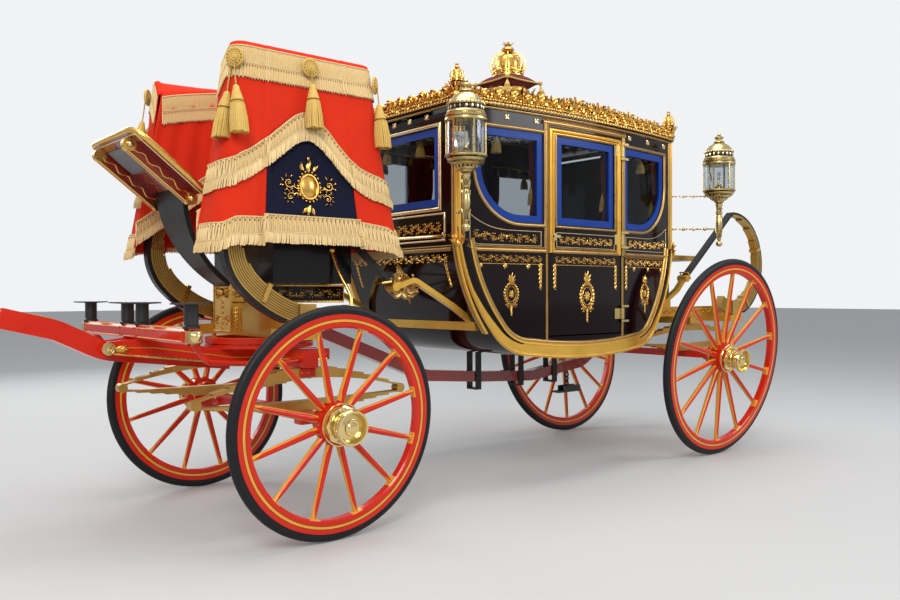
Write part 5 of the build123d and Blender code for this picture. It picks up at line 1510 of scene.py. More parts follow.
def volute(mesh, place, at, size, flip=1, radius=0.006, turns=1.3, start=-60, mat=0, out=0.0):
    """A round stem that rises and winds into a coil."""
    steps = 14
    coil = spiral((0.0, 0.0), 1.0, 0.22, start, turns, steps)
    base = coil[0]
    line = [place(at[0] + flip * (x - base[0]) * size, at[1] + (y - base[1]) * size, out) for x, y in coil]
    scales = [1.0 - 0.6 * i / steps for i in range(steps + 1)]
    mesh.merge(sweep(line, ring(radius, 5), up=(0.3, 0.2, 0.9), scales=scales, mat=mat))
    centre = place(at[0] - flip * base[0] * size, at[1] - base[1] * size, out)
    mesh.merge(ball(centre, radius * 1.5, 3, 6, mat))


def crown(mesh, base, radius, height, mat=0, leaves=8, arches=8):
    """A small open crown: circlet, standing leaves, beaded arches, ball and finial."""
    base = Vector(base)
    band = height * 0.15
    large = radius > 0.08
    circlet = (
        (0.90, 0), (0.98, 0.08), (0.98, 0.25), (0.90, 0.35), (0.90, 0.75), (0.98, 0.85), (0.98, 1), (0.86, 1.05),
        (0.72, 1.2),
    )
    cap = ((0.70, 0.34), (0.68, 0.48), (0.55, 0.58), (0.30, 0.645), (0.08, 0.66))
    profile = [(radius * r, band * h) for r, h in circlet] + [(radius * r, height * h) for r, h in cap]
    mesh.merge(lathe(profile, base, steps=32 if large else 20, mat=mat))
    for i, a in enumerate(around(arches * 2)):
        p = base + polar(radius * 0.94, a, band * 0.55)
        mesh.merge(ball(p, radius * (0.085 if i % 2 else 0.055), 4, 6, mat))
    for a in around(arches):
        ca, sa = math.cos(a), math.sin(a)
        arch = ((0.93, 0.15), (1.03, 0.28), (1.03, 0.42), (0.84, 0.57), (0.46, 0.645), (0.10, 0.640))
        line = through([base + Vector((r * radius * ca, r * radius * sa, z * height)) for r, z in arch], 5)
        mesh.merge(sweep(line, ring(radius * 0.055, 6), up=(-sa, ca, 0.01), mat=mat))
        for p in resample(line, radius * (0.15 if large else 0.22))[1:-1]:
            outward = Vector((ca, sa, 0.4)).normalized() * radius * 0.05
            mesh.merge(ball(p + outward, radius * 0.052, 3, 6, mat))
    for i in range(leaves):
        place = round_place(base, radius * 0.92, 2 * math.pi * (i + 0.5) / leaves, radius)
        for angle, reach in ((90, 0.20), (50, 0.13), (130, 0.13)):
            size = height * reach, radius * 0.11, (angle - 90) * 0.6, radius * 0.08, radius * 0.04
            carved_leaf(mesh, place, (0, band), angle, *size, mat)
    top = base + Vector((0, 0, height * 0.66))
    finial = (
        (0.12, 0), (0.20, 0.02), (0.34, 0.06), (0.40, 0.11), (0.34, 0.16), (0.16, 0.20), (0.10, 0.215), (0.17, 0.245),
        (0.17, 0.265), (0.07, 0.29), (0.09, 0.315), (0, 0.34),
    )
    mesh.merge(lathe([(radius * r, height * h) for r, h in finial], top, steps=20 if large else 12, mat=mat))
    for k in range(6):
        place = round_place(top, radius * 0.16, 2 * math.pi * k / 6, radius * 0.3)
        size = height * 0.10, radius * 0.09, 0, radius * 0.22, radius * 0.03
        carved_leaf(mesh, place, (0, height * 0.20), 90, *size, mat, 4)


def puff(obj, voxel, cap, pressure=4.0, frames=20):
    """Blows a closed form up as cloth, with the way each point may move held short."""
    scene = bpy.context.scene
    remesh = obj.modifiers.new("remesh", "REMESH")
    remesh.mode = "VOXEL"
    remesh.voxel_size = voxel
    graph = bpy.context.evaluated_depsgraph_get()
    mesh = bpy.data.meshes.new_from_object(obj.evaluated_get(graph))
    obj.modifiers.clear()
    materials = list(obj.data.materials)
    obj.data = mesh
    mesh.materials.clear()
    for material in materials:
        mesh.materials.append(material)
    mesh.polygons.foreach_set("use_smooth", [True] * len(mesh.polygons))
    start = [v.co.copy() for v in mesh.vertices]
    cloth = obj.modifiers.new("cloth", "CLOTH")
    cloth.settings.quality = 5
    cloth.settings.mass = 0.2
    cloth.settings.use_pressure = True
    cloth.settings.uniform_pressure_force = pressure
    cloth.settings.effector_weights.gravity = 0.0
    cloth.collision_settings.use_collision = False
    cloth.point_cache.frame_start, cloth.point_cache.frame_end = 1, frames
    for frame_number in range(1, frames + 1):
        scene.frame_set(frame_number)
    graph = bpy.context.evaluated_depsgraph_get()
    puffed = [v.co.copy() for v in obj.evaluated_get(graph).data.vertices]
    obj.modifiers.remove(cloth)
    scene.frame_set(1)
    for vertex, before, after in zip(mesh.vertices, start, puffed):
        move = after - before
        if move.length > cap:
            move *= cap / move.length
        vertex.co = before + move
    smooth = obj.modifiers.new("smooth", "SMOOTH")
    smooth.factor, smooth.iterations = 0.5, 3


def square(count, pinch):
    """Round a square with sides pulled in: two numbers of each place, and how far along its side it lies."""
    out = []
    for i in range(4 * count):
        side_index, t = divmod(i, count)
        t = -1 + 2 * t / count
        u, v = ((1, t), (-t, 1), (-1, -t), (t, -1))[side_index]
        pull = 1 - pinch * (1 - t * t)
        out.append((u * pull, v * pull, t))
    return out


def pillow(low, high, pinch=0.10, count=14):
    """A cushion's form: sides pulled in between its corners, crowned above and below."""
    low, high = Vector(low), Vector(high)
    mid, half = (low + high) / 2, (high - low) / 2
    rows = []
    for level in range(9):
        phi = -math.pi / 2 + math.pi * level / 8
        ring_points = []
        for u, v, t in square(count, pinch):
            reach = max(math.cos(phi), 0.0) ** 0.35
            z = math.sin(phi) * (1 - 0.55 * abs(t) ** 4 * max(math.cos(phi), 0) ** 0.2)
            ring_points.append(mid + Vector((half.x * u * reach, half.y * v * reach, half.z * z)))
        rows.append(ring_points)
    return grid(rows, closed=True).close_ends(4 * count)


# The roof: cornice, cresting, corner crowns and the mound that carries the cushion
CORNICE_TOP = EAVES + CORNICE


def roof_side(which, grow=0.0):
    """One edge of the roof as a ribbon that rises: 0 left, 1 front, 2 right, 3 rear."""
    points, normals = [], []
    count = 40
    for i in range(count + 1):
        t = i / count
        if which in (0, 2):
            sign = 1 if which == 0 else -1
            x = BODY_FRONT + (BODY_REAR - BODY_FRONT) * (t if which == 0 else 1 - t)
            y = side_half(x) + grow
            n = Vector(((x - BODY_MID) / BOW, 1, 0)).normalized()
            points.append(Vector((x, sign * y, CORNICE_TOP)))
            normals.append(Vector((n.x, sign * n.y, 0)))
        else:
            way = 1 if which == 1 else -1
            y = -way * END_HALF * (1 - 2 * t)
            points.append(Vector((BODY_MID + way * (HALF + grow), y, CORNICE_TOP)))
            normals.append(Vector((way, 0, 0)))
    return Ribbon(points, normals, [Vector((0, 0, 1))] * (count + 1))


# A crest's leaves: angle, share of its height, half-width and how far the tip turns
FAN = (
    (90, 0.70, 0.0270, 60), (60, 0.80, 0.0250, -150), (120, 0.80, 0.0250, 150), (30, 0.66, 0.0210, -165),
    (150, 0.66, 0.0210, 165), (6, 0.46, 0.0180, 170), (174, 0.46, 0.0180, -170),
)
cresting = Mesh()
for which in range(4):
    ribbon = roof_side(which, 0.016)
    # Rope moulding and bead row on the cornice
    cresting.merge(rope(ribbon.line(-0.014, 0.004, 0.02), 0.010, 34, 3, up=(0.1, 0.1, 1)))
    beads = int(ribbon.total / 0.021)
    for i in range(beads):
        cresting.merge(ball(ribbon.at((i + 0.5) * ribbon.total / beads, 0.008, -0.006), 0.0085, 4, 6))
    inner = roof_side(which, -0.008)
    units = round(inner.total / 0.108)
    for layer, (push, scale, shift) in enumerate(((0.0, 1.0, 0.5), (-0.022, 0.92, 0.0))):

        def place(u, v, out, inner=inner, push=push):
            return inner.at(u, v, out + push)

        for i in range(units + (0 if layer == 0 else 1)):
            u0 = (i + shift) * inner.total / units
            swing = (u0 / inner.total - 0.5) * 2
            tall = (0.112 + (0.040 if which in (0, 2) else 0.022) * math.exp(-((swing / 0.42) ** 2))) * scale
            tall *= 1.0 + 0.10 * math.cos(i * 2.4)
            for angle, reach, wide, curl in FAN:
                if layer == 0 or 6 < angle < 174:
                    size = tall * reach, wide, curl, 0.030, 0.0085
                    carved_leaf(cresting, place, (u0, 0.004), angle, *size, 0, 6 - layer)
            for flip in (1, -1):
                volute(cresting, place, (u0 + flip * 0.012, 0.006), tall * 0.34, flip, 0.0098, 1.25, 215, out=0.014)
                at = (u0 + flip * 0.030, tall * 0.36)
                carved_leaf(cresting, place, at, 90 - flip * 10, tall * 0.40, 0.0200, flip * -150, 0.022, 0.008)
            cresting.merge(ball(place(u0, tall * 0.50, 0.022), 0.0120, 4, 7))
for way in (1, -1):
    for sign in (1, -1):
        base = Vector((BODY_MID + way * (HALF - 0.010), sign * (END_HALF - 0.012), CORNICE_TOP))
        vase = [
            (0.044, 0), (0.050, 0.012), (0.034, 0.030), (0.026, 0.055), (0.040, 0.072), (0.046, 0.082),
            (0.030, 0.094), (0.022, 0.100),
        ]
        cresting.merge(lathe(vase, base, steps=20, flutes=8, flute_depth=0.10))
        crown(cresting, base + Vector((0, 0, 0.092)), 0.042, 0.108, leaves=6, arches=6)
        for k in range(8):
            place = round_place(base, 0.026, 2 * math.pi * k / 8, 0.04)
            carved_leaf(cresting, place, (0, 0.002), 90, 0.082, 0.013, 0, 0.040, 0.005, 0, 6)
cresting.build("roof_cresting", [gold], "root", "gilding", ["cresting"], angle=50)

CROWN_X = FRONT_X - 1.950
ROOF_TOP = CORNICE_TOP + 0.062
PEDESTAL_TOP = ROOF_TOP + 0.4 * (TOP - ROOF_TOP)
mound = Mesh()
rise = PEDESTAL_TOP - ROOF_TOP
pedestal = [
    (0.205, -0.020), (0.210, 0.010), (0.200, 0.022), (0.182, 0.030), (0.165, rise * 0.28), (0.140, rise * 0.52),
    (0.140, rise * 0.72), (0.152, rise * 0.86), (0.158, rise * 0.93), (0.150, rise),
]
mound.merge(lathe(pedestal, (CROWN_X, 0, ROOF_TOP), steps=40, flutes=20, flute_depth=0.05))
# Tiers of leaves: foot, radius, reach, half-width, count and how far the tips stand out
TIERS = (
    (0.004, 0.178, 0.150, 0.030, 12, 0.055), (0.060, 0.150, 0.165, 0.028, 12, 0.070),
    (0.020, 0.185, 0.085, 0.022, 18, 0.040),
)
for tier, (low, radius, reach, wide, count, curl_out) in enumerate(TIERS):
    for k in range(count):
        place = round_place((CROWN_X, 0, ROOF_TOP), radius, 2 * math.pi * (k + 0.5 * (tier % 2)) / count)
        for angle, share in ((90, 1.0), (64, 0.66), (116, 0.66)):
            size = reach * share, wide * (0.7 + 0.3 * share), (angle - 90) * -1.8, curl_out * share, 0.007
            carved_leaf(mound, place, (0, low), angle, *size)
        volute(mound, place, (0.012, low + 0.01), 0.030, 1, 0.0065, 1.2, 215, out=0.020)
        volute(mound, place, (-0.012, low + 0.01), 0.030, -1, 0.0065, 1.2, 215, out=0.020)
mound.build("roof_mound", [gold], "root", "gilding", angle=50)

# The tasselled cushion and the large crown
CUSHION_LOW = PEDESTAL_TOP + 0.0003
CUSHION_HIGH = CUSHION_LOW + 0.158 * (TOP - ROOF_TOP)
pad = pillow((CROWN_X - 0.158, -0.158, CUSHION_LOW + 0.004), (CROWN_X + 0.158, 0.158, CUSHION_HIGH - 0.002), 0.09)
roof_pad = pad.build("roof_cushion_velvet", [dark_red_cloth], "root", "red_cloth", ["roof_cushion"], angle=180)
puff(roof_pad, 0.006, 0.006)
piping = Mesh()
mid_z = (CUSHION_LOW + CUSHION_HIGH) / 2
outline = [Vector((CROWN_X + 0.163 * u, 0.163 * v, mid_z)) for u, v, _ in square(12, 0.09)]
piping.merge(rope(outline, 0.0075, 50, 3, closed=True))
for sx in (1, -1):
    for sy in (1, -1):
        corner = Vector((CROWN_X + sx * 0.162, sy * 0.162, mid_z))
        piping.merge(ball(corner, 0.017, 5, 10))
        tassel(piping, corner, 0.105, 0.044, (sx, sy, 0.01), strands=18, cord=0.028, lean=(sx * 0.10, sy * 0.10, 0))
piping.build("roof_cushion_tassels", [silk_gold], "root", "gilding", angle=60)
big_crown = Mesh()
crown(big_crown, (CROWN_X, 0, CUSHION_HIGH - 0.004), 0.116, 3.016 - CUSHION_HIGH, leaves=8, arches=8)
big_crown.build("roof_crown", [gold], "root", "gilding", ["centre_crown"], angle=50)

# Lamps: pale brass cases with a crimped ring, glazed sides and a long turned stem
lamp_case = Mesh()
lamp_glass = Mesh()
stem_profile = [
    (0.0, 0.0), (0.012, 0.002), (0.022, 0.012), (0.025, 0.024), (0.020, 0.036), (0.010, 0.044), (0.010, 0.050),
    (0.017, 0.056), (0.017, 0.064), (0.011, 0.070), (0.014, 0.085), (0.021, 0.130), (0.024, 0.165), (0.021, 0.200),
    (0.015, 0.226), (0.013, 0.236), (0.022, 0.242), (0.024, 0.250), (0.016, 0.258), (0.015, 0.268), (0.020, 0.290),
    (0.027, 0.312), (0.022, 0.322), (0.034, 0.328), (0.036, 0.336), (0.050, 0.340), (0.058, 0.350), (0.052, 0.356),
    (0.075, 0.362), (0.090, 0.372), (0.086, 0.380), (0.100, 0.385), (0.108, 0.396), (0.102, 0.402), (0.116, 0.406),
    (0.118, 0.414), (0.112, 0.420), (0.104, 0.421),
]
top_profile = [
    (0.104, 0.598), (0.112, 0.600), (0.118, 0.606), (0.118, 0.616), (0.110, 0.620), (0.114, 0.624), (0.116, 0.634),
    (0.108, 0.640), (0.110, 0.646), (0.104, 0.656), (0.092, 0.660), (0.088, 0.662),
]
dome_profile = [
    (0.080, 0.686), (0.100, 0.688), (0.103, 0.696), (0.097, 0.703), (0.092, 0.716), (0.070, 0.742), (0.044, 0.758),
    (0.034, 0.764), (0.040, 0.769), (0.036, 0.775), (0.022, 0.781), (0.020, 0.788), (0.030, 0.796), (0.033, 0.804),
    (0.024, 0.812), (0.010, 0.818), (0.014, 0.824), (0.010, 0.832), (0.0, 0.838),
]
LAMP_Y, LAMP_Z = 0.850, 1.560
for x, outward in ((FRONT_X - 0.810, 1), (FRONT_X - 3.290, -1)):
    origin = Vector((x, LAMP_Y, LAMP_Z))
    lamp_case.merge(lathe(stem_profile, origin, steps=26))
    lamp_case.merge(lathe(top_profile, origin, steps=32))
    lamp_case.merge(lathe(dome_profile, origin, steps=32))
    lamp_case.merge(lathe([(0.086, 0.658), (0.084, 0.690)], origin, steps=40, mat=1))
    for k, a in enumerate(around(36)):
        lamp_case.merge(ball(origin + polar(0.093, a, 0.674), 0.0085, 4, 6, mat=2 if k % 2 else 1, squash=1.5))
    for a in around(28):
        lamp_case.merge(ball(origin + polar(0.101, a, 0.697), 0.0065, 4, 6))
    for k in range(6):
        a = math.radians(12 + 60 * k)
        c, s = math.cos(a), math.sin(a)
        post = [origin + Vector((0.110 * c, 0.110 * s, z)) for z in (0.416, 0.430, 0.590, 0.604)]
        width = 0.006 if k % 2 else 0.0042
        lamp_case.merge(sweep(post, [(-width, -0.003), (width, -0.003), (width, 0.003), (-width, 0.003)], up=(c, s, 0)))
    for z in (0.100, 0.205, 0.262, 0.300):
        for k in range(7):
            place = round_place(origin + Vector((0, 0, z)), 0.016, 2 * math.pi * k / 7, 0.02)
            carved_leaf(lamp_case, place, (0, -0.030), 90, 0.052, 0.0070, 0, 0.008, 0.004, 0, 5)
    for k in range(16):
        place = round_place(origin + Vector((0, 0, 0.350)), 0.060, 2 * math.pi * k / 16, 0.10)
        carved_leaf(lamp_case, place, (0, 0.0), 90, 0.030, 0.009, 0, 0.040, 0.003, 0, 4)
    # The burner and its reflector inside
    burner = [(0.030, 0.421), (0.034, 0.440), (0.020, 0.448), (0.012, 0.462), (0.012, 0.478)]
    lamp_case.merge(lathe(burner, origin, steps=20))
    lamp_case.merge(lathe([(0.011, 0.470), (0.011, 0.545), (0.004, 0.552)], origin, steps=16, mat=3))
    back = Vector((-outward * 0.30, -0.95, 0)).normalized()
    side = back.cross(Vector((0, 0, 1)))
    centre = origin + Vector((0, 0, 0.510)) + back * 0.068
    dish = []
    for i in range(1, 6):
        r = 0.052 * i / 5
        middle = centre + back * (0.010 - 4.0 * r * r)
        dish.append([middle + (side * math.cos(b) + Vector((0, 0, 1)) * math.sin(b)) * r for b in around(24)])
    lamp_case.merge(slab([row + row[:1] for row in dish], back * 0.002, mat=4))
    chimney = ((0.1045, 0.420), (0.1045, 0.600), (0.1015, 0.600), (0.1015, 0.420), (0.1045, 0.420))
    lamp_glass.merge(grid([[origin + polar(r, a, z) for a in around(48)] for r, z in chimney], closed=True))
    # Its two irons, set with small knops, to the body's corner post
    corner_x = BODY_FRONT - 0.012 if outward > 0 else BODY_REAR + 0.012
    for low, radius in ((0.372, 0.0055), (0.130, 0.0070)):
        start = Vector((corner_x, END_HALF - 0.015, LAMP_Z + low))
        stop = Vector((x, LAMP_Y, LAMP_Z + low))
        line = [start.lerp(stop, t / 10) for t in range(11)]
        lamp_case.merge(rope(line, radius, 40, 2))
        for t in (0.06, 0.30, 0.5, 0.72):
            lamp_case.merge(ball(start.lerp(stop, t), radius * 1.7, 5, 8, squash=1.2))
lamp_case.both_sides()
lamp_glass.both_sides()
candle = finish("wax_candle", (0.80, 0.76, 0.66), (0.70, 0.64, 0.52), 0.5, 0.1, grain=0.1)
mirror_silver = finish("reflector_silver", (0.88, 0.88, 0.86), (0.75, 0.75, 0.73), 0.12, 0.05, metal=1.0, grain=0.03)
lamp_case.build(
    "lamp_cases", [old_brass, iron, pale_gold, candle, mirror_silver], "root", "brass_fittings", ["lamps"], angle=40
)
lamp_glass.build("lamp_panes", [clear_glass], "root", "clear_glass", ["lamp_glasses"], angle=40)

# The footboard: gilt edge moulding, gilt ribs and the pad between them
BOARD_LOW = Vector((ahead(0.470), 0, 1.725))
BOARD_WAY = Vector((0.350, 0, 0.275)).normalized()
BOARD_UP = Vector((-BOARD_WAY.z, 0, BOARD_WAY.x))
BOARD_LENGTH, BOARD_HALF = 0.445, 0.330


def on_board(s, y, n):
    return BOARD_LOW + BOARD_WAY * s + Vector((0, y, 0)) + BOARD_UP * n


def tube(mesh, points, radius, mat=0, closed=False, sides=6):
    mesh.merge(sweep(points, ring(radius, sides), up=(0.21, 0.13, 0.97), closed=closed, mat=mat))


def box_at(mesh, centre, ways, halves, mat=0):
    """A block about a centre, along three ways."""
    a, b, c = [Vector(way).normalized() * half for way, half in zip(ways, halves)]
    centre = Vector(centre)
    below = [centre - a - b - c, centre + a - b - c], [centre - a + b - c, centre + a + b - c]
    mesh.merge(slab(below, [[c * 2] * 2] * 2, mat))


board = Mesh()
edge = [(0.0, -BOARD_HALF), (BOARD_LENGTH - 0.09, -BOARD_HALF)]
edge += arc((BOARD_LENGTH - 0.09, -BOARD_HALF + 0.09), 0.09, -90, 0, 6)[1:]
edge += [(s, -y) for s, y in edge[::-1]]
for grow, n, radius, mat in ((0.0, 0.011, 0.0150, 0), (-0.024, -0.002, 0.0050, 1), (-0.024, 0.024, 0.0050, 1)):
    long, wide = BOARD_LENGTH + grow, BOARD_HALF + grow
    line = [on_board(min(s, long), max(-wide, min(wide, y)), n) for s, y in edge]
    board.merge(sweep(line, ring(radius, 8), up=(0.2, 0.1, 1), mat=mat))
for sign in (1, -1):
    for y in (0.200, 0.230):
        tube(board, [on_board(s, sign * y, -0.060) for s in (0.012, 0.388)], 0.0055)
    for y in (0.2315, 0.1985):
        wave = [on_board(0.018 + 0.365 * i / 20, sign * y, -0.032 + 0.010 * math.sin(i * 1.26)) for i in range(21)]
        tube(board, wave, 0.0042, sides=5)
    for s in (0.006, 0.396):
        end = [on_board(s, sign * y, -0.032) for y in (0.196, 0.234)]
        board.merge(sweep(end, ring(0.034, 14), up=(0.2, 0.1, 1)))
        board.merge(ball(on_board(s, sign * 0.238, -0.032), 0.016, 6, 10, 1))
board.build("footboard_trim", [gold, pale_gold], "root", "gilding", angle=50)
pad_mesh = Mesh()
PAD_ACROSS = [-0.186 + 0.372 * j / 24 for j in range(25)]
rows = []
for i in range(13):
    swells = [(math.sin(math.pi * i / 12) * math.sin(math.pi * j / 24)) ** 0.35 for j in range(25)]
    rows.append([on_board(0.215 + 0.165 * i / 12, y, -0.004 - 0.014 * c) for y, c in zip(PAD_ACROSS, swells)])
pad_mesh.merge(grid(rows))
pad_mesh.merge(grid([[on_board(s, y, -0.001) for y in PAD_ACROSS] for s in (0.215, 0.380)]))
pad_mesh.build("footboard_pad", [pad_grey], "root", "black_leather", angle=60)
paint("footboard", dark_red)

# C-springs: the dark gaps between their leaves, clips and the straps' buckles
SPRING_Y = 0.5
gaps = Mesh()
leaf_gap = finish("leaf_gap", (0.09, 0.055, 0.018), (0.05, 0.030, 0.010), 0.6, 0.1, specular=0.2)
clips = Mesh()
FRONT_C = (ahead(0.125), 1.465)
REAR_C = (REAR_X - 0.6327, 1.455)
FOOT_C = (0.339, 1.698)
FRONT_BOW, REAR_BOW = 0.315, 0.405
FRONT_TIP, REAR_TIP = 115, 94
LEAF, LEAF_STEP = 0.012, 20
for sign in (1, -1):
    for face_side in (1, -1):
        y = sign * SPRING_Y + face_side * 0.0314
        for i in range(1, 8):
            foot = arc(FOOT_C, 0.650 - LEAF * i, -104, -44, 16)[:-1]
            front = foot + arc(FRONT_C, FRONT_BOW - LEAF * i, -44, FRONT_TIP - LEAF_STEP * i, 24)
            rear = arc(REAR_C, REAR_BOW - LEAF * i, -122, REAR_TIP - LEAF_STEP * i, 32)
            for line in (front, [(2 * REAR_C[0] - x, z) for x, z in rear]):
                gaps.merge(sweep([(x, y, z) for x, z in line], ring(0.0016, 4), up=(0.1, 0.9, 0.1)))
    for centre, radius, tip, way, angles in (
        (FRONT_C, FRONT_BOW, FRONT_TIP, 1, (-66, 6)), (REAR_C, REAR_BOW, REAR_TIP, -1, (-60, 20))
    ):
        for a in angles:
            depth = LEAF * sum(tip - LEAF_STEP * i > a for i in range(8))
            ca, sa = way * math.cos(math.radians(a)), math.sin(math.radians(a))
            out, along = Vector((ca, 0, sa)), Vector((-sa, 0, ca))
            middle = Vector((centre[0], sign * SPRING_Y, centre[1])) + out * (radius - depth / 2)
            for shift in (-0.033, 0.033):
                box_at(clips, middle + Vector((0, shift * 1.06, 0)), (along, out, (0, 1, 0)), (0.012, depth / 2, 0.003))
            box_at(clips, middle - out * (depth / 2 + 0.003), (along, out, (0, 1, 0)), (0.012, 0.003, 0.038))
    # Buckles where the straps meet the body loops
    for x, z, lean in ((ahead(-0.500), 1.268, -0.12), (ahead(-3.365), 1.345, 0.9)):
        way = Vector((math.cos(lean), 0, math.sin(lean)))
        other = Vector((-way.z, 0, way.x))
        base = Vector((x, sign * SPRING_Y, z))
        corners = box_line(-0.030, -0.036, 0.030, 0.036)
        frame = [base + way * a + Vector((0, b, 0)) + other * 0.014 for a, b in corners]
        clips.merge(sweep(frame, ring(0.006, 6), up=tuple(other), closed=True))
        tube(clips, [base + Vector((0, y, 0)) + other * 0.016 for y in (-0.036, 0.036)], 0.004)
gaps.build("c_spring_leaf_gaps", [leaf_gap], "root", "gold_iron", angle=60)
clips.build("c_spring_clips", [gold], "root", "gold_iron", angle=40)

# Carving on the beam under the boot, the platform's edge, stays and corner leaves
carving = Mesh()
beam_front = ahead(0.222)
for sign in (1, -1):
    beam_side = Face(lambda u, v, out, sign=sign: Vector((u, sign * (0.110 + out), v)))
    y0, y1 = sorted((sign * 0.1096, sign * 0.1112))
    carving.merge(brick((ahead(-0.486), y0, 1.180), (ahead(0.150), y1, 1.263), 2))
    scroll_run(carving, beam_side, ahead(-0.480), ahead(0.140), 1.222, 0.038, 0.008, 0)
    acanthus_scroll(carving, beam_side, (ahead(0.184), 1.226), 0.046, flip=1, up=1, height=0.011)
    for z in (1.174, 1.269):
        tube(carving, [(ahead(-0.490), sign * 0.110, z), (ahead(0.218), sign * 0.110, z)], 0.005)
    pendant(carving, beam_side, ahead(0.192), 1.150, 0.125, 0.040, 0)
    for x in (ahead(0.164), ahead(0.218)):
        tube(carving, [(x, sign * 0.110, 1.020), (x, sign * 0.110, 1.168)], 0.005)
front_face = Face(lambda u, v, out: Vector((beam_front + out, u, v)))
pendant(carving, front_face, 0.0, 1.200, 0.175, 0.080, 0)
for sign in (1, -1):
    acanthus_scroll(carving, front_face, (sign * 0.052, 1.226), 0.044, flip=sign, up=1, height=0.010)
    acanthus_scroll(carving, front_face, (sign * 0.060, 1.080), 0.036, flip=sign, up=-1, height=0.009)
    tube(carving, [(beam_front, sign * 0.107, 1.015), (beam_front, sign * 0.107, 1.272)], 0.006)
for z in (1.018, 1.270):
    tube(carving, [(beam_front, -0.107, z), (beam_front, 0.107, z)], 0.006)
carving.merge(ball((beam_front + 0.004, 0, 1.232), 0.022, 6, 12, 0, 0.9))
low_x, high_x = REAR_X - 0.220, BODY_REAR - 0.080
outline = [(high_x, 0.430), (low_x, 0.430), (low_x, -0.430), (high_x, -0.430)]
for z, radius in ((1.507, 0.008), (1.494, 0.011), (1.481, 0.007)):
    tube(carving, [(x, y, z) for x, y in outline], radius, closed=True, sides=8)
for sign in (1, -1):
    rear_side = Face(lambda u, v, out, sign=sign: Vector((u, sign * (0.385 + out), v)))
    scroll_run(carving, rear_side, ahead(-4.15), ahead(-3.22), 1.0725, 0.028, 0.006, 0)
    bends = ((0.205, 0.362, 1.462), (0.182, 0.400, 1.339), (0.150, 0.468, 1.204), (0.176, 0.5, 1.085))
    stay = through([(x, sign * y, z) for x, y, z in bends], 6)
    tube(carving, stay, 0.0105, sides=8)
    carving.merge(ball((0.205, sign * 0.366, 1.462), 0.020, 6, 10))
    rod = [(ahead(-0.480), sign * 0.500, 1.520), (-0.200, sign * 0.500, 1.534), (-0.500, sign * 0.500, 1.562)]
    tube(carving, rod, 0.0115, 1, sides=8)
    tube(carving, [rod[0], (rod[0][0], sign * 0.352, 1.505)], 0.0115, 1, sides=8)
    carving.merge(ball((-0.512, sign * 0.500, 1.563), 0.021, 6, 10, 1))
    collar = [(0.011, 0), (0.019, 0.004), (0.019, 0.012), (0.011, 0.016)]
    carving.merge(lathe(collar, (-0.478, sign * 0.5, 1.560), (-1, 0, 0.09), 12, 1))
    cluster_x = -0.206

    def cluster(u, v, out, sign=sign):
        return Vector((cluster_x + u, sign * (0.462 + out), 1.262 + v))

    for angle, reach in (
        (-178, 0.100), (-158, 0.110), (-138, 0.120), (-116, 0.115), (-90, 0.095), (-64, 0.115), (-42, 0.120),
        (-22, 0.110), (-2, 0.100), (60, 0.070), (120, 0.070),
    ):
        curl = 125 if -90 < angle < 90 else -125
        tip = carved_leaf(carving, cluster, (0, 0), angle, reach, 0.0290, curl, 0.016, 0.008, 3, 8)
        carving.merge(ball(cluster(tip[0], tip[1], 0.014), 0.0100, 4, 7, 3))
    for flip in (1, -1):
        volute(carving, cluster, (flip * 0.020, -0.030), 0.042, flip, 0.0090, 1.3, 215, mat=3, out=0.012)
    carving.merge(ball(cluster(0, -0.01, 0.014), 0.020, 6, 10, 3))
    for way in (1, -1):
        corner_x = BODY_MID + way * (HALF - 0.002)
        out_way = Vector((way, sign, 0)).normalized()
        side_way = Vector((-out_way.y, out_way.x, 0))

        corner = Vector((corner_x, sign * (END_HALF + 0.004), 1.535))

        def place(u, v, out, corner=corner, out_way=out_way, side_way=side_way):
            return corner + side_way * u + out_way * (0.004 + out) + Vector((0, 0, v))

        for angle, reach in ((90, 0.105), (66, 0.080), (114, 0.080), (42, 0.060), (138, 0.060)):
            carved_leaf(carving, place, (0, -0.030), angle, reach, 0.0150, (90 - angle) * -1.2, 0.020, 0.006, 0, 6)
        carving.merge(ball(place(0, -0.022, 0.010), 0.017, 6, 10))
carving.build("carriage_carving", [gold, pale_gold, lacquer, bronze_gold], "root", "gilding", angle=50)

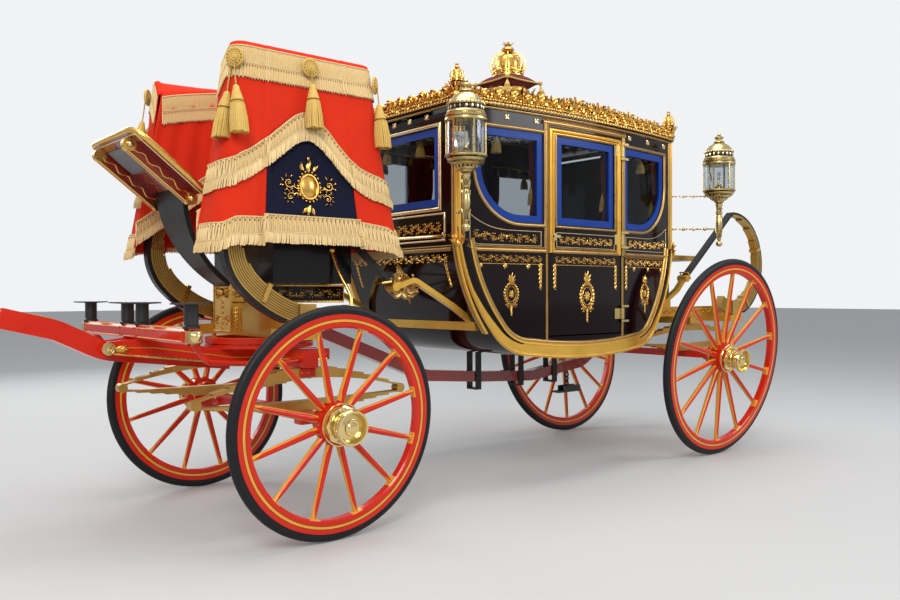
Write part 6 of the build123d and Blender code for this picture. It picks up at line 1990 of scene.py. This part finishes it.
# The steered carriage's painted lines, brass ends and spring clips
trim = Mesh()
bar_x = ahead(0.700)
for y0, y1 in ((0.130, 0.690), (-0.690, -0.130), (-0.080, 0.080)):
    borders = [[(x, y, z) for y, z in box_line(y0, 1.008, y1, 1.052)] for x in (bar_x + 0.0352, bar_x - 0.0352)]
    x0, x1 = bar_x - 0.024, bar_x + 0.024
    borders.append([(x, y, 1.0655) for x, y in ((x0, y0), (x0, y1), (x1, y1), (x1, y0))])
    for border in borders:
        tube(trim, border, 0.0026, 1, closed=True, sides=4)
for sign in (1, -1):
    y0, y1 = sorted((sign * 0.712, sign * 0.757))
    trim.merge(brick((bar_x - 0.040, y0, 0.990), (bar_x + 0.040, y1, 1.070), 2, 0.014))
    knob = [(0.024, 0), (0.026, 0.004), (0.014, 0.010), (0.018, 0.016), (0.010, 0.022), (0, 0.023)]
    trim.merge(lathe(knob, (bar_x, sign * 0.756, 1.030), (0, sign, 0), 14, 2))
    for shift, mat in ((-0.0255, 1), (0.0255, 1)):
        line = [(ahead(-0.380), 0.868), (ahead(0.200), 0.876), (ahead(0.640), 0.948), (ahead(0.855), 0.956)]
        tube(trim, [(x, sign * 0.0725 + shift, z) for x, z in line], 0.0034, mat, sides=4)
    y = sign * SPRING_Y
    for low in (0.790, 0.5445):
        trim.merge(brick((FRONT_X - 0.046, y - 0.036, low), (FRONT_X + 0.046, y + 0.036, low + 0.046), 3, 0.004))
        for x in (FRONT_X - 0.040, FRONT_X, FRONT_X + 0.040):
            tube(trim, [(x, y - 0.037, low + 0.023), (x, y + 0.037, low + 0.023)], 0.004, 0, sides=4)
tube(trim, [(FRONT_X + 0.076, y, 0.882) for y in (-0.55, 0.55)], 0.003, 1, sides=4)
pole_line = ((0.230, 0.9085), (0.620, 0.957), (0.900, 0.999), (1.110, 1.105), (1.400, 1.160))
top_line = through([(ahead(x), 0, z) for x, z in pole_line], 8)
tip = Vector((ahead(3.440), 0, 1.2698))
for shift in (-0.020, 0.020):
    tube(trim, [p + Vector((0, shift, 0)) for p in top_line] + [tip + Vector((0, shift * 0.5, 0))], 0.0030, 1, sides=4)
for sign in (1, -1):
    joint = (ahead(0.862), sign * 0.0975, 0.952)
    for r, h, thick in ((0.028, 0.004, 0.0050), (0.016, 0.007, 0.0040)):
        circle = [Vector(joint) + Vector((r * math.cos(a), sign * h, r * math.sin(a))) for a in around(24)]
        trim.merge(sweep(circle, ring(thick, 6), up=(0.02, 1, 0.01), closed=True, mat=2))
    trim.merge(lathe([(0.026, 0), (0.024, 0.006), (0.010, 0.010), (0, 0.012)], joint, (0, sign, 0), 20, 2))
    joint_face = Face(lambda u, v, out, sign=sign: Vector((u, sign * (0.0978 + out), v)))
    for angle, reach in ((180, 0.075), (165, 0.055), (195, 0.055)):
        curl = (angle - 180) * 1.5
        carved_leaf(trim, joint_face.place, (ahead(0.828), 0.946), angle, reach, 0.011, curl, 0.004, 0.004)
    line = [(ahead(-0.380), 0.8395), (ahead(0.200), 0.8425), (ahead(0.840), 0.926)]
    tube(trim, [(x, sign * 0.0985, z) for x, z in line], 0.0055, 0, sides=6)
trim.build("fore_carriage_trim", [gold, line_gold, brass, vermilion], "fore_carriage", "brass_fittings", angle=40)

# Hubs: an octagonal flange with nuts, a wide beaded rim and a boss in the recessed face
for key, (centre, axis, radius, spokes) in WHEELS.items():
    hub = Mesh()
    length = 0.096 if key[0] == "f" else 0.112
    turn = Vector((0, 0, 1)).rotation_difference(axis).to_matrix()

    def at_hub(r, a, h, centre=centre, axis=axis, turn=turn):
        return centre + turn @ polar(r, a, h)

    hub.merge(lathe([(0.060, 0.054), (0.099, 0.054), (0.099, 0.061), (0.090, 0.066), (0.072, 0.068)], centre, axis, 8))
    for i in range(8):
        a = math.pi * (i + 0.5) / 4
        hub.merge(lathe([(0.0075, 0), (0.0075, 0.007), (0.004, 0.010), (0, 0.0105)], at_hub(0.084, a, 0.064), axis, 6))
    end = 0.052 + length
    for r, h, thick in (
        (0.1045, 0.040, 0.0045), (0.0825, end - 0.0062, 0.0045), (0.0835, end - 0.018, 0.0035),
        (0.0690, 0.052 + 0.36 * length, 0.0030),
    ):
        hub.merge(sweep([at_hub(r, a, h) for a in around(40)], ring(thick, 6), up=tuple(axis), closed=True))
    boss = ((0.072, 0.0265), (0.060, 0.022), (0.046, 0.021), (0.030, 0.014), (0.024, 0.006), (0.010, 0.003), (0, 0.003))
    hub.merge(lathe([(r, end - h) for r, h in boss], centre, axis, 28))
    hub.build(f"hub_trim_{key}", [brass], f"wheel_{key}", "brass_fittings", angle=40)

# The cabin: padded seats, carpet, curtains and their tassels
for way in (1, -1):
    for label, near, far, low, high in (("cushion", 0.568, 0.884, 1.194, 1.298), ("squab", 0.896, 0.998, 1.302, 1.706)):
        x0, x1 = sorted((BODY_MID + way * near, BODY_MID + way * far))
        form = pillow((x0, -0.552, low), (x1, 0.552, high), 0.012)
        name = f"seat_{label}_{'front' if way > 0 else 'rear'}"
        stands_for = ["cabin_seats"] if label == "cushion" and way > 0 else ()
        seat = form.build(name, [damask], "root", "crimson_damask", stands_for, angle=180)
        puff(seat, 0.020, 0.005)
buttons = Mesh()
for way in (1, -1):
    for row in range(4):
        for column in range(9 - row % 2):
            y = -0.48 + 0.12 * (column + 0.5 * (row % 2))
            z = 1.375 + 0.082 * row
            buttons.merge(ball((BODY_MID + way * 0.893, y, z), 0.011, 5, 8, 0))
    for z in (1.196, 1.294):
        tube(buttons, [(BODY_MID + way * 0.572, y, z) for y in (-0.548, 0.548)], 0.006, 1, sides=6)
buttons.build("seat_buttons", [dark_red_cloth, silk_gold], "root", "crimson_damask", angle=60)
carpet_mesh = Mesh()
rows = []
for i in range(31):
    waves = [0.0008 * math.sin(i * 1.7) * math.sin(j * 1.3) for j in range(25)]
    rows.append([(BODY_MID - 0.545 + 1.09 * i / 30, -0.50 + j / 24, 0.8800 + wave) for j, wave in enumerate(waves)])
carpet_mesh.merge(grid(rows))
carpet_piece = carpet_mesh.build("cabin_carpet", [carpet], "root", "crimson_damask", angle=80)
thicken(carpet_piece, 0.004)


def curtain(name, place, width, low, high, body, anchor):
    """A pleated curtain gathered at its tie: place(u, v, out) gives its plane."""
    mesh = Mesh()
    columns, levels = 56, 18
    rows = []
    for k in range(levels + 1):
        v = high + (low - high) * k / levels
        t = k / levels
        pull = 1 - 0.42 * math.exp(-(((t - 0.66) / 0.16) ** 2))
        row = []
        for i in range(columns + 1):
            u = width * i / columns * pull
            row.append(place(u, v, 0.009 + 0.0085 * math.sin(2 * math.pi * 7 * i / columns)))
        rows.append(row)
    mesh.merge(grid(rows))
    piece = mesh.build(name, [dark_red_cloth], body, "red_cloth", angle=80)
    thicken(piece, 0.0015)


cabin_tassels = {"root": Mesh(), "door_left": Mesh(), "door_right": Mesh()}
quarter_near, quarter_far = DOOR_HALF + 0.030, HALF - 0.110
for sign, label in ((1, "left"), (-1, "right")):

    def wall_place(start, way, sign=sign):
        def place(u, v, out):
            x = start + way * u
            return Vector((x, sign * (side_half(x) - 0.052 - out), v))

        return place

    door = f"door_{label}"
    spots = (
        (DOOR_FRONT - 0.062, -1, 0.085, door, door),
        (DOOR_REAR + 0.062, 1, 0.085, door, door),
        (BODY_MID + quarter_far, -1, 0.105, "root", "quarter_panels"),
        (BODY_MID - quarter_far, 1, 0.105, "root", "quarter_panels"),
        (BODY_MID + quarter_near, 1, 0.070, "root", "quarter_panels"),
        (BODY_MID - quarter_near, -1, 0.070, "root", "quarter_panels"),
    )
    for index, (start, way, width, body, anchor) in enumerate(spots):
        place = wall_place(start, way)
        curtain(f"curtain_{label}_{index + 1}", place, width, 1.640, 2.232, body, anchor)
        top = place(width * 0.55, 1.905, 0.026)
        tassel(cabin_tassels[body], top, 0.115, 0.034, (0, -sign, 0), strands=14, cord=0.020)
    for x0, x1, body in (
        (DOOR_REAR + 0.062, DOOR_FRONT - 0.062, door),
        (BODY_MID + quarter_near, BODY_MID + quarter_far, "root"),
        (BODY_MID - quarter_far, BODY_MID - quarter_near, "root"),
    ):
        xs = [x0 + (x1 - x0) * i / 8 for i in range(9)]
        rod = [Vector((x, sign * (side_half(x) - 0.060), 2.236)) for x in xs]
        tube(cabin_tassels[body], rod, 0.007, 0)
        for i in range(5):
            p = rod[0].lerp(rod[-1], (i + 0.5) / 5)
            tassel(cabin_tassels[body], p, 0.075, 0.026, (0, -sign, 0), strands=10)
for index, sign in enumerate((1, -1)):

    def place(u, v, out, sign=sign):
        return Vector((BODY_FRONT - 0.054 - out, sign * (0.440 - u), v))

    curtain(f"curtain_front_{index + 1}", place, 0.110, 1.720, 2.232, "root", "front_panel")
    tassel(cabin_tassels["root"], place(0.050, 1.960, 0.026), 0.115, 0.034, (-1, 0, 0), strands=14, cord=0.020)
for i in range(8):
    tassel(cabin_tassels["root"], (BODY_FRONT - 0.064, -0.385 + 0.11 * i, 2.236), 0.075, 0.026, (-1, 0, 0), strands=10)
for x in (BODY_MID + 0.705, BODY_MID - 0.705):
    for sign in (1, -1):
        top = (x, sign * (side_half(x) - 0.075), 2.185)
        tassel(cabin_tassels["root"], top, 0.100, 0.052, (0, sign, 0), strands=18, cord=0.012)
for sign in (1, -1):
    top = (BODY_FRONT - 0.070, sign * 0.177, 2.180)
    tassel(cabin_tassels["root"], top, 0.100, 0.052, (1, 0, 0), strands=18, cord=0.012)
for body, mesh in cabin_tassels.items():
    mesh.build(f"curtain_tassels_{body}", [silk_gold], body, "gilding", angle=60)

# The black panels that narrow the gilt band under the body as it climbs to the belt
band_panels = Mesh()
outer_line, inner_line = under_curve(0.020), under_curve(0.079)
for sign in (1, -1):
    side = side_face(sign)
    for order in (1, -1):
        near, far = outer_line[::order], inner_line[::order]
        rows = []
        for (u0, v0), (u1, v1) in list(zip(near, far))[:23]:
            t = clamp((v1 - 0.880) / 0.400)
            shares = [1 - (0.10 + 0.90 * t) * (1 - k / 3) for k in range(4)]
            rows.append([side.place(u0 + (u1 - u0) * s, v0 + (v1 - v0) * s, 0.0135) for s in shares])
        band_panels.merge(grid(rows if sign * order > 0 else rows[::-1]))
band_piece = band_panels.build("rocker_band_panels", [lacquer], "root", "black_lacquer", angle=60)
thicken(band_piece, 0.002, 0.0)


# Stage, light and camera
def stage_finish(name, color, glow):
    """A pale surface that a camera ray, a reflection or a pane sees as pale, and that still takes shadows."""
    material, tree, shader = new_material(name)
    cloud = add_node(tree, "ShaderNodeTexNoise", {"Scale": 1.5, "Detail": 3.0}).outputs["Fac"]
    fill(tree, shader, {
        "Base Color": mixed(tree, cloud, rgba(tuple(c * 0.97 for c in color)), rgba(color)), "Roughness": 0.9,
        "Emission Color": rgba(color), "Emission Strength": glow,
    })
    return material


floor_mesh = bpy.data.meshes.new("floor")
floor_mesh.from_pydata([(-60, -60, 0), (60, -60, 0), (60, 60, 0), (-60, 60, 0)], [], [(0, 1, 2, 3)])
floor_mesh.materials.append(stage_finish("pale_floor", (0.53, 0.525, 0.52), 0.03))
floor = bpy.data.objects.new("floor", floor_mesh)
bpy.context.scene.collection.objects.link(floor)
floor.location.z = -0.001
floor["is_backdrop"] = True

world = bpy.data.worlds.new("studio")
bpy.context.scene.world = world
world.use_nodes = True
tree = world.node_tree
backdrop = tree.nodes["Background"]
fill(tree, backdrop, {"Color": (0.80, 0.82, 0.85, 1.0), "Strength": 0.75})
seen = add_node(tree, "ShaderNodeBackground", {"Color": (0.88, 0.89, 0.91, 1.0), "Strength": 1.0})
soft = add_node(tree, "ShaderNodeBackground", {"Color": (0.90, 0.95, 1.0, 1.0), "Strength": 0.55})
rays = add_node(tree, "ShaderNodeLightPath").outputs
either = add_node(
    tree, "ShaderNodeMath", {0: rays["Is Camera Ray"], 1: rays["Is Transmission Ray"]}, operation="MAXIMUM"
)
mix = add_node(tree, "ShaderNodeMixShader", {0: either.outputs[0], 1: soft.outputs[0], 2: seen.outputs[0]})
glossy = add_node(tree, "ShaderNodeMixShader", {0: rays["Is Glossy Ray"], 1: mix.outputs[0], 2: backdrop.outputs[0]})
fill(tree, tree.nodes["World Output"], {"Surface": glossy.outputs[0]})


def area_light(name, place, target, size, power, color=(1, 1, 1)):
    light = bpy.data.lights.new(name, "AREA")
    light.shape = "RECTANGLE"
    light.size, light.size_y = size
    light.energy = power
    light.color = color
    obj = bpy.data.objects.new(name, light)
    bpy.context.scene.collection.objects.link(obj)
    obj.location = place
    obj.rotation_euler = (Vector(target) - Vector(place)).to_track_quat("-Z", "Y").to_euler()


area_light("key", (5.5, 6.5, 6.5), (-0.5, 0, 1.2), (4, 4), 540, (1.0, 0.97, 0.92))
area_light("side", (-6.0, 6.5, 5.0), (-1.5, 0, 1.2), (4, 3), 230, (0.95, 0.97, 1.0))
area_light("far_side", (0.0, -8.0, 5.0), (-0.5, 0, 1.2), (6, 4), 260)
area_light("above", (-0.5, 0.5, 8.0), (-0.5, 0, 0), (7, 4), 330)

camera_data = bpy.data.cameras.new("camera")
SENSOR, FOCAL_PX, WIDTH_PX = 36, 839.673, 900
camera_data.sensor_width = SENSOR
camera_data.lens = FOCAL_PX * SENSOR / WIDTH_PX
camera_data.clip_end = 200
camera = bpy.data.objects.new("camera", camera_data)
bpy.context.scene.collection.objects.link(camera)
YAW, PITCH, ROLL = 0.69809, -0.007897, -0.002689
look = Vector((-math.sin(YAW) * math.cos(PITCH), -math.cos(YAW) * math.cos(PITCH), math.sin(PITCH)))
camera.location = (2.2254 + FRONT_X, 4.3279, 1.22)
camera.rotation_mode = "QUATERNION"
camera.rotation_quaternion = look.to_track_quat("-Z", "Y") @ Quaternion((0, 0, 1), ROLL)
bpy.context.scene.camera = camera
bpy.context.scene.view_settings.view_transform = "Standard"

import json

low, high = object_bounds()
{"cad": [list(cad_low), list(cad_high)], "visual": [list(low), list(high)]}
